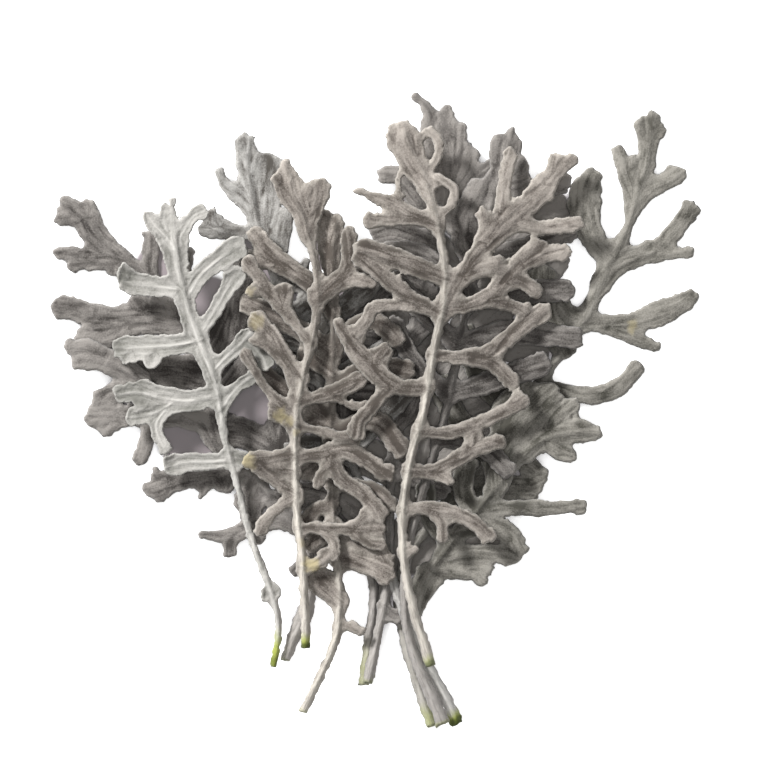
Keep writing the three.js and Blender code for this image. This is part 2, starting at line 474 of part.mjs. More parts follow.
// The point of the earlier lines of the leaf that lies nearest to a place.
function nearestOn(strokes, x, y) {
  let best = { distance: Infinity };
  for (const stroke of strokes) {
    for (let i = 0; i < stroke.rows.length - 1; i += 1) {
      const a = stroke.rows[i];
      const b = stroke.rows[i + 1];
      const run = (b.x - a.x) ** 2 + (b.y - a.y) ** 2;
      const along = ((x - a.x) * (b.x - a.x) + (y - a.y) * (b.y - a.y)) / run;
      const part = THREE.MathUtils.clamp(along, 0, 1);
      const px = a.x + part * (b.x - a.x);
      const py = a.y + part * (b.y - a.y);
      const distance = Math.hypot(px - x, py - y);
      if (distance < best.distance) {
        best = { distance, stroke, i, part, x: px, y: py };
      }
    }
  }
  return best;
}

function mix(a, b, part) {
  return a + (b - a) * part;
}

// All the lines of a leaf as strokes of rows; each lobe's first row is moved onto its parent.
function strokesOf(leaf) {
  const rib = {
    rows: rowsAlong(leaf.midrib, RIB_STEP, ribWidth, false),
    section: RIB_SECTION,
    curl: MIDRIB_CURL * leaf.curl,
    parent: null,
  };
  for (const row of rib.rows) {
    row.thick = mix(STALK_THICK, RIB_THICK_AT_TIP, row.stop);
  }
  rib.rows[rib.rows.length - 1].half *= RIB_TIP_WIDTH;
  const strokes = [rib];
  for (const line of leaf.lobes) {
    const root = nearestOn(strokes, line[1][0], line[1][1]);
    const placed = [line[0], [root.x, root.y], ...line.slice(2)];
    const thick = root.stroke.parent ? FINGER_THICK : LOBE_THICK;
    const stroke = {
      rows: rowsAlong(placed, LOBE_STEP, lobeWidth, true),
      section: LOBE_SECTION,
      curl: mix(CURL_LOW, CURL_HIGH, random()) * leaf.curl,
      parent: root.stroke,
      parentRow: root.i,
      parentPart: root.part,
    };
    for (const row of stroke.rows) {
      row.thick = thick;
    }
    strokes.push(stroke);
  }
  return strokes;
}

const heightMap = new Float32Array(MAP_COLUMNS * MAP_ROWS);

function mapCells(x, y) {
  const cells = [];
  const west = Math.round((x - MAP_REACH - MAP_WEST) / MAP_STEP);
  const east = Math.round((x + MAP_REACH - MAP_WEST) / MAP_STEP);
  const south = Math.round((y - MAP_REACH - MAP_SOUTH) / MAP_STEP);
  const north = Math.round((y + MAP_REACH - MAP_SOUTH) / MAP_STEP);
  for (let row = south; row <= north; row += 1) {
    for (let column = west; column <= east; column += 1) {
      cells.push(row * MAP_COLUMNS + column);
    }
  }
  return cells;
}

// Calls visit(x, y, a, b, part) for places spread over every piece of ribbon of the strokes.
function walkOver(strokes, visit) {
  for (const stroke of strokes) {
    for (let i = 0; i < stroke.rows.length - 1; i += 1) {
      const a = stroke.rows[i];
      const b = stroke.rows[i + 1];
      const steps = Math.ceil(Math.hypot(b.x - a.x, b.y - a.y) / WALK_STEP);
      for (let k = 0; k <= steps; k += 1) {
        const part = k / steps;
        const half = mix(a.half, b.half, part);
        const across = Math.ceil((2 * half) / WALK_STEP);
        for (let j = 0; j <= across; j += 1) {
          const offset = -half + (2 * half * j) / across;
          const x = mix(a.x + a.side[0] * offset, b.x + b.side[0] * offset, part);
          const y = mix(a.y + a.side[1] * offset, b.y + b.side[1] * offset, part);
          visit(x, y, a, b, part);
        }
      }
    }
  }
}

// Lowest height that the middle of a blade of this thickness may have at a place.
function lowestMiddle(x, y, thick) {
  let top = 0;
  for (const cell of mapCells(x, y)) {
    top = Math.max(top, heightMap[cell]);
  }
  const air = top > 0 ? RESTING_GAP : 0;
  return top + air + thick / 2;
}

// Lets a leaf down on what lies below: it sags as far as its stiffness allows, its lobes curl up
// a little, every ribbon is raised where it would still touch, and the whole leaf is let down
// by what is left under it.
function drape(strokes) {
  const holds = [];
  walkOver(strokes, (x, y, a, b, part) => {
    holds.push([x, y, lowestMiddle(x, y, mix(a.thick, b.thick, part))]);
  });
  for (const stroke of strokes) {
    let rise = 0;
    if (stroke.parent) {
      const from = stroke.parent.rows[stroke.parentRow];
      const to = stroke.parent.rows[stroke.parentRow + 1];
      rise = mix(from.rise, to.rise, stroke.parentPart);
    }
    for (const row of stroke.rows) {
      let held = 0;
      for (const [x, y, middle] of holds) {
        const away = (x - row.x) ** 2 + (y - row.y) ** 2;
        held = Math.max(held, middle - SAG * away);
      }
      const bend = stroke.parent ? row.stop ** 2 : Math.max(0, 2 * row.stop - 1) ** 2;
      row.rise = rise + stroke.curl * bend;
      row.z = held + row.rise;
    }
  }
  for (let round = 0; round < SETTLING_ROUNDS; round += 1) {
    let worst = 0;
    walkOver(strokes, (x, y, a, b, part) => {
      const short = lowestMiddle(x, y, mix(a.thick, b.thick, part)) - mix(a.z, b.z, part);
      if (short > SMALLEST_LIFT) {
        const share = part ** 2 + (1 - part) ** 2;
        a.z += (short * (1 - part)) / share;
        b.z += (short * part) / share;
        worst = Math.max(worst, short);
      }
    });
    for (const stroke of strokes) {
      if (stroke.parent) {
        const from = stroke.parent.rows[stroke.parentRow];
        const to = stroke.parent.rows[stroke.parentRow + 1];
        const ribHeight = mix(from.z, to.z, stroke.parentPart);
        const over = stroke.rows[0].z - ribHeight;
        if (over > 2 * SETTLED) {
          from.z += over * (1 - stroke.parentPart);
          to.z += over * stroke.parentPart;
          worst = Math.max(worst, over);
        }
        stroke.rows[0].z = Math.max(ribHeight, stroke.rows[0].z);
      }
    }
    if (worst < SETTLED) {
      break;
    }
  }
  let slack = Infinity;
  walkOver(strokes, (x, y, a, b, part) => {
    const lowest = lowestMiddle(x, y, mix(a.thick, b.thick, part));
    slack = Math.min(slack, mix(a.z, b.z, part) - lowest);
  });
  for (const stroke of strokes) {
    for (const row of stroke.rows) {
      row.z -= slack;
    }
  }
  walkOver(strokes, (x, y, a, b, part) => {
    const top = mix(a.z, b.z, part) + mix(a.thick, b.thick, part) / 2;
    for (const cell of mapCells(x, y)) {
      heightMap[cell] = Math.max(heightMap[cell], top);
    }
  });
}

// A closed ribbon through the rows of one stroke, split alike on its two faces.
function ribbonSolid(stroke) {
  const sides = stroke.section.length;
  const corners = [];
  for (const row of stroke.rows) {
    for (const [across, up] of stroke.section) {
      corners.push(row.x + row.side[0] * row.half * across);
      corners.push(row.y + row.side[1] * row.half * across);
      corners.push(row.z + (row.thick / 2) * up);
    }
  }
  const faces = [];
  for (let i = 0; i < stroke.rows.length - 1; i += 1) {
    for (let k = 0; k < sides; k += 1) {
      const next = (k + 1) % sides;
      const a = i * sides + k;
      const b = i * sides + next;
      const c = a + sides;
      const d = b + sides;
      faces.push(a, b, c, b, d, c);
    }
  }
  const last = (stroke.rows.length - 1) * sides;
  for (let k = 1; k < sides - 1; k += 1) {
    faces.push(0, k + 1, k);
    faces.push(last, last + k, last + k + 1);
  }
  const geometry = new THREE.BufferGeometry();
  geometry.setAttribute("position", new THREE.Float32BufferAttribute(corners, 3));
  geometry.setIndex(faces);
  return solidFrom(geometry);
}

function solidFrom(geometry) {
  const merged = mergeVertices(geometry, 1e-4);
  return new wasm.Manifold(new wasm.Mesh({
    numProp: 3,
    vertProperties: new Float32Array(merged.attributes.position.array),
    triVerts: new Uint32Array(merged.index.array),
  }));
}

function leafMesh(leaf) {
  const strokes = strokesOf(leaf);
  drape(strokes);
  let whole = ribbonSolid(strokes[0]);
  for (const stroke of strokes.slice(1)) {
    whole = whole.add(ribbonSolid(stroke));
  }
  const joined = whole.getMesh();
  const geometry = new THREE.BufferGeometry();
  geometry.setAttribute("position", new THREE.Float32BufferAttribute(joined.vertProperties, 3));
  geometry.setIndex([...joined.triVerts]);
  geometry.computeVertexNormals();
  const felt = new THREE.MeshStandardMaterial({
    color: leaf.colour,
    roughness: 0.95,
    metalness: 0,
  });
  const mesh = new THREE.Mesh(geometry, felt);
  mesh.name = leaf.name;
  return mesh;
}

const bunch = new THREE.Group();
for (const leaf of LEAVES) {
  bunch.add(leafMesh(leaf));
}

// The origin is the middle of the bunch's box, on the table.
const box = new THREE.Box3().setFromObject(bunch);
bunch.position.set(-(box.min.x + box.max.x) / 2, -(box.min.y + box.max.y) / 2, 0);

export default bunch;
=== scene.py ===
import math

import bpy
import numpy as np
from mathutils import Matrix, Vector
from mathutils.bvhtree import BVHTree


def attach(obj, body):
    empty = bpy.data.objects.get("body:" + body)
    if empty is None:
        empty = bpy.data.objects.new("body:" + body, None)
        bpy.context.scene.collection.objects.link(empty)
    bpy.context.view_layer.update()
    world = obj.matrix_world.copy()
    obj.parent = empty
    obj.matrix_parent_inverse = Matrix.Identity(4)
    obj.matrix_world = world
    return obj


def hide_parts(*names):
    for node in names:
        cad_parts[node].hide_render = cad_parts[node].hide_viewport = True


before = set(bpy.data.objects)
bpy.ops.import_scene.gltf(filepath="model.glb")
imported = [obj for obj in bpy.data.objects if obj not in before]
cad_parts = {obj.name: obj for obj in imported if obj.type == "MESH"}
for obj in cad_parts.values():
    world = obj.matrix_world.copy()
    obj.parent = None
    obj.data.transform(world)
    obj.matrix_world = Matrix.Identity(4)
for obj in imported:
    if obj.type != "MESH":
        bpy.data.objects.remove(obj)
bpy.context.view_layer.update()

# A bunch of cut dusty miller leaves on a pale table. Every leaf is one closed, felted sheet with
# a round stalk. Sizes in this script are millimetres, and metres only where a mesh is handed over.
MM = 0.001

# ---- driving sizes, mm ----
# the grid and the lines
FINE_GRID = 0.34            # distance between the vertices of the leaves on top
COARSE_GRID = 0.42          # and of those that are mostly covered
GRID_MARGIN = 8             # how far a leaf's grid reaches past its lines
LINE_STEP = 0.5             # distance between the places that are worked out along a line
LINE_STRETCH = 16           # places of a line that are measured from at a time
LINE_REACH = 4              # how far past a line's edge its fields are worked out
FAR = 99.0                  # more than any distance that counts
TINY = 1e-9                 # keeps a division safe where nothing was found
SMALLEST_GAP = 1e-4         # and one by a gap of the spline

# the outline
ROOT_WIDTH = 0.74           # width of a lobe at its root, as a part of its full width
ROOT_LENGTH = 0.5           # part of the lobe over which it widens
RIB_WAIST = 0.1             # how much narrower the midrib is halfway
THINNEST = 0.45             # smallest half width of a line
ROUND_TIP = 0.85            # how far a lobe's round tip reaches, in half widths
SQUARE_END = 6              # length of stalk over which the cut end is kept square
WEB = 2.6                   # how far the web reaches round the inner corner between two lobes
EDGE_BUMPS = [(2.5, 0.26), (1.2, 0.24), (0.7, 0.14)]  # size and depth of the bumps of the edge
TIP_BUMP = 0.55             # how far the bumps of a lobe's end stand out
TIP_BUMP_SIZE = 1.7         # and how long each of them is
TIP_BUMP_LEVEL = 0.4        # how much more of them stands out than is cut in
TIP_LENGTH = 3.5            # length of a lobe's end
TIP_REACH = 1               # how far past the edge the bumps may stand
PULLS = 2                   # times that the border's vertices are pulled to the outline
LONGEST_PULL = 0.8          # and the furthest that they go, in grid steps
LEAST_SLOPE = 0.3           # least squared slope of the outline's field that a pull reckons with

# the cross-section
EDGE_ROUND = 0.6            # radius of the soft felted edge
BLADE_HALF = 0.46           # half the thickness of the blade with its felt
STALK_HALF = 1.2            # half the height of the stalk at its cut end
RIB_TIP_HALF = 0.62         # half the height of the midrib at the leaf's tip
RIB_REACH = 0.3             # how far past its line the midrib reaches
RIB_SKIRT = 0.05            # and how much wider its round section is
KEEL = (0.3, 0.7, 1.2)      # parts of the section that are round and keeled, and the keel's power
UPPER_RIB_STAND = 1.3       # height of the midrib on the upper side, as a part of that below
UNDER_RIB_STAND = 1.45      # and on an underside that lies up
RIB_RIDGE = 0.6             # how far the midrib stands out where blade lies on both sides of it
UNDER_RIDGE = 1.15          # and on an underside that lies up
CREST = (0.95, 1.6)         # half width and power of that ridge
RIB_BARE = (1.6, 0.4)       # widths of blade beside the midrib at which it starts and is bare
RIB_RELIEF = 0.6            # the felt's relief on the midrib, as a part of that on the blade
TABLE_GAP = 0.02            # keeps the lowest leaves from sinking into the table

# bends, folds and relief
RAY_START = 1.0             # height in metres that the solid is looked for from
MID_BLUR = 4                # grid steps that smooth the bend of the blade
WIDE_BLUR = 16              # and those that carry it on past the solid's edge
ENOUGH_SOLID = 0.02         # share of solid under the smaller blur that it is trusted with
BEND_MARGIN = 0.3           # how far past the outline the bend is measured
ARCH = 0.8                  # how much lower the edges of a lobe lie than its middle
ARCH_REACH = 1.2            # how far in from the edge that falls off
ARCH_LEVEL = 0.5            # part of the arch that stands above the bend
BLEND = 0.8                 # how softly the forms of two lobes run into each other
BLEND_DEPTH = 4             # distance from a line's edge past which that no longer changes
FIBRE_RELIEF = 0.07         # height of the felt's streaks
FOLD = 0.18                 # height of the folds that run along a lobe
GROOVE = 0.16               # depth of the creases between them
GROOVE_SHARE = 0.3          # part of the noise's height that makes a crease
GROOVE_START = (0.4, 1.0)   # distances from the edge at which the creases start and are full
SEAM = 1.1                  # how deep the crease between two lobes that grow side by side is
SEAM_WIDTH = 0.7            # and how wide
SEAM_INSIDE = (0.1, 0.8)    # how far inside both lobes it starts and is full
SEAM_ROOT = (3, 9)          # distances from a lobe's root at which it starts and is full
TWIST = 0.14                # largest sideways slope of a lobe
TWIST_ROOT = 14             # length over which it grows
MARGIN_LIP = 0.13           # how far the thick margin stands up
LIP_SHAPE = (0.5, 0.42, 0.3)  # its distance from the edge, its width and where it is full
GRAIN_SIZE = 0.75           # a clump of felt that shows as a grain
GRAIN_RELIEF = 0.075        # how far it stands out

# veins
VEIN_RIDGE = 0.45           # how far a vein stands out of the underside
VEIN_GROOVE = 0.14          # and how deep it lies in the upper side
VEIN_WIDTH = 0.5            # half width of a vein where it has faded to a third
VEIN_FADE = 0.6             # how much fainter it is at the lobe's tip
VEIN_ROOT = (0.3, 2.5)      # distances along the lobe at which it starts and is full
VEIN_EDGE = (0.2, -0.6)     # distances from the lobe's edge at which it ends and is full
SHORT_LOBE = (5, 14)        # a lobe this short has no vein, and one this long has a full one
SIDE_VEIN = 0.35            # strength of the veins beside the middle one of a lobe
SIDE_VEIN_PLACE = 0.55      # where they run, in half widths of the lobe
SIDE_VEIN_WIDTH = 0.4       # and their half width

# Cells of the noises that lie along a lobe: length and width. The fibres sway by the first.
SWAY, SWAY_CELL = 0.5, (9, 5)
FOLD_CELL = (15, 2.1)
GROOVE_CELL = (12, 1.9)
WANDER, WANDER_CELL = 0.8, (1.7, 0.9)  # unevenness of a cut end's tints
STREAKS = [(0.55, (6.5, 0.95), 0), (0.45, (3.2, 0.5), 31)]  # strength, cell and seed

# Seeds. A line's own number is its leaf's number times LEAF_SEED, and one more for each line.
LEAF_SEED = 97
SWAY_SEED, FOLD_SEED, GROOVE_SEED, WANDER_SEED = 11, 53, 71, 5
TIP_SEED, GRAIN_SEED, BRUISE_SEED = 40, 60, 3
TWIST_DRAW = (0.3, 0.77, 5)  # place of a lobe's slope in the noise, and its seed

# marks that the felt's material reads
MIDDLE_TO_TIPS = (22, 84)       # distances from the bunch's middle over which the felt's colour goes from darker to paler
MIDDLE_LEVEL = -0.2           # how much darker the felt's colour is at the bunch's middle
TIPS_GAIN = 0.45           # and how much paler it is at the outer tips
PALE_RIM = 0.55             # width of the pale margin
FOLD_PAINTED_HIGHLIGHT = 0.4            # painted highlight: how much paler the felt's colour is on a fold
CREASE_PAINTED_SHADE = 0.9          # and painted shade: how much darker it is in a crease
RIB_FADE = 0.9              # how much of a midrib's paleness is lost on an old leaf
RIB_ON_BLADE = 0.6          # how pale a midrib is between two halves of blade
TINT_REACH = 0.5            # how far past the stalk's edge its tints reach
GREEN_CORE = 0.35           # part of the green stretch of a stalk that is full
SAP_CORE = 0.4              # and of the dark one
BRUISE_WANDER = 0.9         # unevenness of a bruise
BRUISE_CELL = 1.1           # and the size of its lumps
SPOT_CORE = 0.2             # part of a spot's radius in which it is full

# ---- the felt's look ----
TUFT = 0.45 * MM            # a tuft of felt hairs, drawn coarser than the real 0.2 mm to show
HAIR = 0.5 * MM             # a lock of matted hairs across its run, coarser than the real 0.2 mm
LOCK = 1.1 * MM             # and several of them that lie together
HAIR_STRETCH = 0.16         # width of a lock as a part of its length
LAY_STEP = 7.3              # shift that keeps one lobe's hairs from going on in the next, mm
PATCH = 7 * MM              # a patch where the felt is denser or more worn
FELT_NOISES = [("tuft", TUFT, 3.0), ("hairs", HAIR, 2.0), ("locks", LOCK, 2.0),
               ("patch", PATCH, 2.0)]  # name, size and fine detail
NOISE_ROUGHNESS = 0.6       # how strong the finest hairs are beside the coarse ones
# What is laid over the hairs, one after the other, and how much of it shows.
FELT_LAYERS = [("locks", 0.6), ("streaks_and_painted_shade", 0.4), ("tuft", 0.38)]
RANGE = ("From Min", "From Max", "To Min", "To Max")  # sockets of the sets of four below
PATCH_WEAR = (0.3, 0.7, -0.28, 0.28)  # a patch's noise, and how much thinner or denser it is
RIB_WEAR = (0.4, 0.56, 0.42, 1.05)    # the locks' noise, and how much of a rib's paleness is left
RIM_TINT = 0.42             # how much paler the margin is
RIB_TINT = 0.9              # and the midrib
BRUISE_TAN = "#b4a883"      # dry skin where the felt is rubbed off
STALK_GREEN = "#9ca636"     # bare stalk near the cut
DRIED_SAP = "#3f4a12"       # the cut face
FELT_PAINTED_SHADE_REACH = 9 * MM           # how far round a place its neighbours count for the felt's painted shade
FELT_PAINTED_SHADE_RAYS = 6           # rays that find the open sky for that painted shade
FELT_PAINTED_SHADE_RANGE = (0.12, 0.55, 0.38, 1.0)   # share of open sky, and the brightness that the painted shade leaves
TUFT_HEIGHT = 0.45          # part of the relief that is tufts and not locks
FELT_DEPTH = 0.32 * MM      # height of the felt's fine relief

# ---- table and camera ----
SATIN_GRAIN = 2 * MM        # the acrylic's satin grain, coarser than the real 0.05 mm
SATIN_DEPTH = 0.05 * MM     # and its height
TABLE_PAINTED_SHADE_REACH = 14 * MM         # how far round a place the leaves count for the table's painted shade
TABLE_PAINTED_SHADE_RAYS = 12         # rays that find the open sky for that painted shade
TABLE_PAINTED_SHADE_OPEN = (0.2, 0.42)    # shares of open sky at which the table has full painted shade and none
TABLE_LIGHT = 0.25          # light of the table on the leaves
SENSOR_WIDTH = 36           # mm
CAMERA_HEIGHT = 2.0         # metres over the table
CAMERA_CLIP = (0.1, 20)     # nearest and furthest that it sees, metres
VIEW_WIDTH = 0.228          # metres that the camera takes in across, at the height VIEW_LEVEL
VIEW_LEVEL = 0.010          # middle height of the bunch

# Felt that is denser or thinner than on most leaves.
DENSITY = {
    "leaf_low_middle": 0.75,
    "leaf_far_left": -0.12,
    "leaf_far_right": -0.1,
    "leaf_low_left": 0.02,
    "leaf_back_top": 0.14,
    "leaf_back_left": -0.12,
    "leaf_back_middle": -0.1,
    "leaf_front_left": -0.05,
    "leaf_low_right": -0.06,
}

# How pale the midrib is, and the part of it from the cut end at which that starts to fade and is
# gone. The felt of a midrib wears off towards the tip of an old leaf.
PLAIN_RIB = (1.0, 0.08, 0.32)
PALE_RIBS = {
    "leaf_front_left": (0.9, 0.25, 1.2),
    "leaf_front_middle": (1.0, 0.35, 0.7),
    "leaf_front_right": (0.85, 0.5, 1.0),
    "leaf_back_middle": (1.0, 0.15, 0.45),
    "leaf_back_left": (1.0, 0.12, 0.4),
}

# Cut ends that have lost their felt: length that shows green, how green it is, and length and
# strength of the darker sap at the very end.
PLAIN_END = (1.5, 0.3, 0.8, 0.2)
CUT_ENDS = {
    "leaf_front_left": (14, 0.9, 5.5, 0.6),
    "leaf_front_middle": (5.5, 0.85, 2.6, 0.9),
    "leaf_back_left": (5.5, 0.9, 3.6, 0.9),
    "leaf_far_right": (9, 0.45, 0.8, 0.2),
    "leaf_front_right": (4, 0.45, 2.2, 0.7),
    "leaf_far_left": (16, 0.3, 0.8, 0.2),
    "leaf_back_top": (2.5, 0.3, 1.4, 0.5),
}

# Bruises of each leaf, where the felt is rubbed off: place, radius and strength.
BRUISES = {
    "leaf_front_middle": [
        (-40.5, -24, 4.6, 0.7), (-37, 17.4, 3.6, 0.4), (-39, 26.4, 2.4, 0.38),
        (-29.5, -10.5, 2.8, 0.7), (-27, -12.6, 2.4, 0.5), (-25.4, -15.5, 2, 0.5),
        (-20.4, -55.4, 3.8, 0.85), (-23.4, -49, 2.2, 0.5), (-6, -17, 1.8, 0.5),
    ],
    "leaf_far_right": [(76, 16, 2.4, 0.5)],
    "leaf_back_middle": [(-8, -8, 1.8, 0.5)],
}

# Where a leaf's felt is darker or paler than around it: place, radius and how much darker it is
# there. Some are worn or denser felt, others are painted shade where leaves above shade a leaf,
# or painted light where one is paler.
WORN_AND_PAINTED_SHADE_PLACES = {
    "leaf_front_left": [
        (-77.5, 31, 6, 0.4), (-79, 9.8, 6.5, 0.8), (-75.5, -4.5, 8.5, 0.6), (-63.5, -26, 3, 0.3),
    ],
    "leaf_front_middle": [(1, -30, 6, 0.5)],
    "leaf_back_middle": [
        (-3, -30, 6, 0.6), (-9, -15, 6, 0.6), (-8, 16, 6, 0.6), (-23, -9, 6, -0.5),
    ],
    "leaf_back_right": [(38, 36, 6, 0.7), (32, 63, 5, 0.4), (14, -24, 6, 0.6), (56, 62, 6, -0.6)],
    "leaf_low_right": [(31, -38, 6, 0.5), (17, -50, 7, 0.5), (42, -38, 5, 0.4)],
    "leaf_back_left": [(-6, -18, 6, -0.6), (-34, 33, 6, -0.5)],
    "leaf_back_top": [(-4, 10, 5, -0.6), (18, 54, 6, -0.5)],
    "leaf_low_left": [(-72, -8, 8, 0.45), (-57, -10, 9, -0.6), (-39, -28, 8, -0.5)],
    "leaf_low_middle": [(32, -15, 6, 0.7)],
    "leaf_far_left": [(-64, 25, 7, -0.6), (-30, -21, 6, 0.6)],
    "leaf_far_right": [(57, 58, 7, -0.6)],
}

# Painted shade on the table, at places where the bunch keeps the light off it: the middle and the
# radius.
PAINTED_TABLE_SHADES = [
    (-39, -7.5, 12),
    (-57, -17.5, 11.5),
    (-51.5, 23.5, 9),
    (-66, 33.5, 9),
    (-8, 0, 33),
    (-18.4, 40.2, 2.6),
    (-17.8, 35.8, 3),
    (-35, 32, 6),
    (7, 54, 4),
    (-39.6, 40.6, 3),
    (-29, 24, 8),
]
PAINTED_TABLE_SHADE_EDGE = 0.8      # part of the radius that has full painted shade
PAINTED_SHADE_GLOW = 0.045          # glow that the table keeps in its painted shade

# Middle of the bunch's box, from the point that the leaves' lines are measured from.
BOX_MIDDLE = (-1.5578, -9.2972)

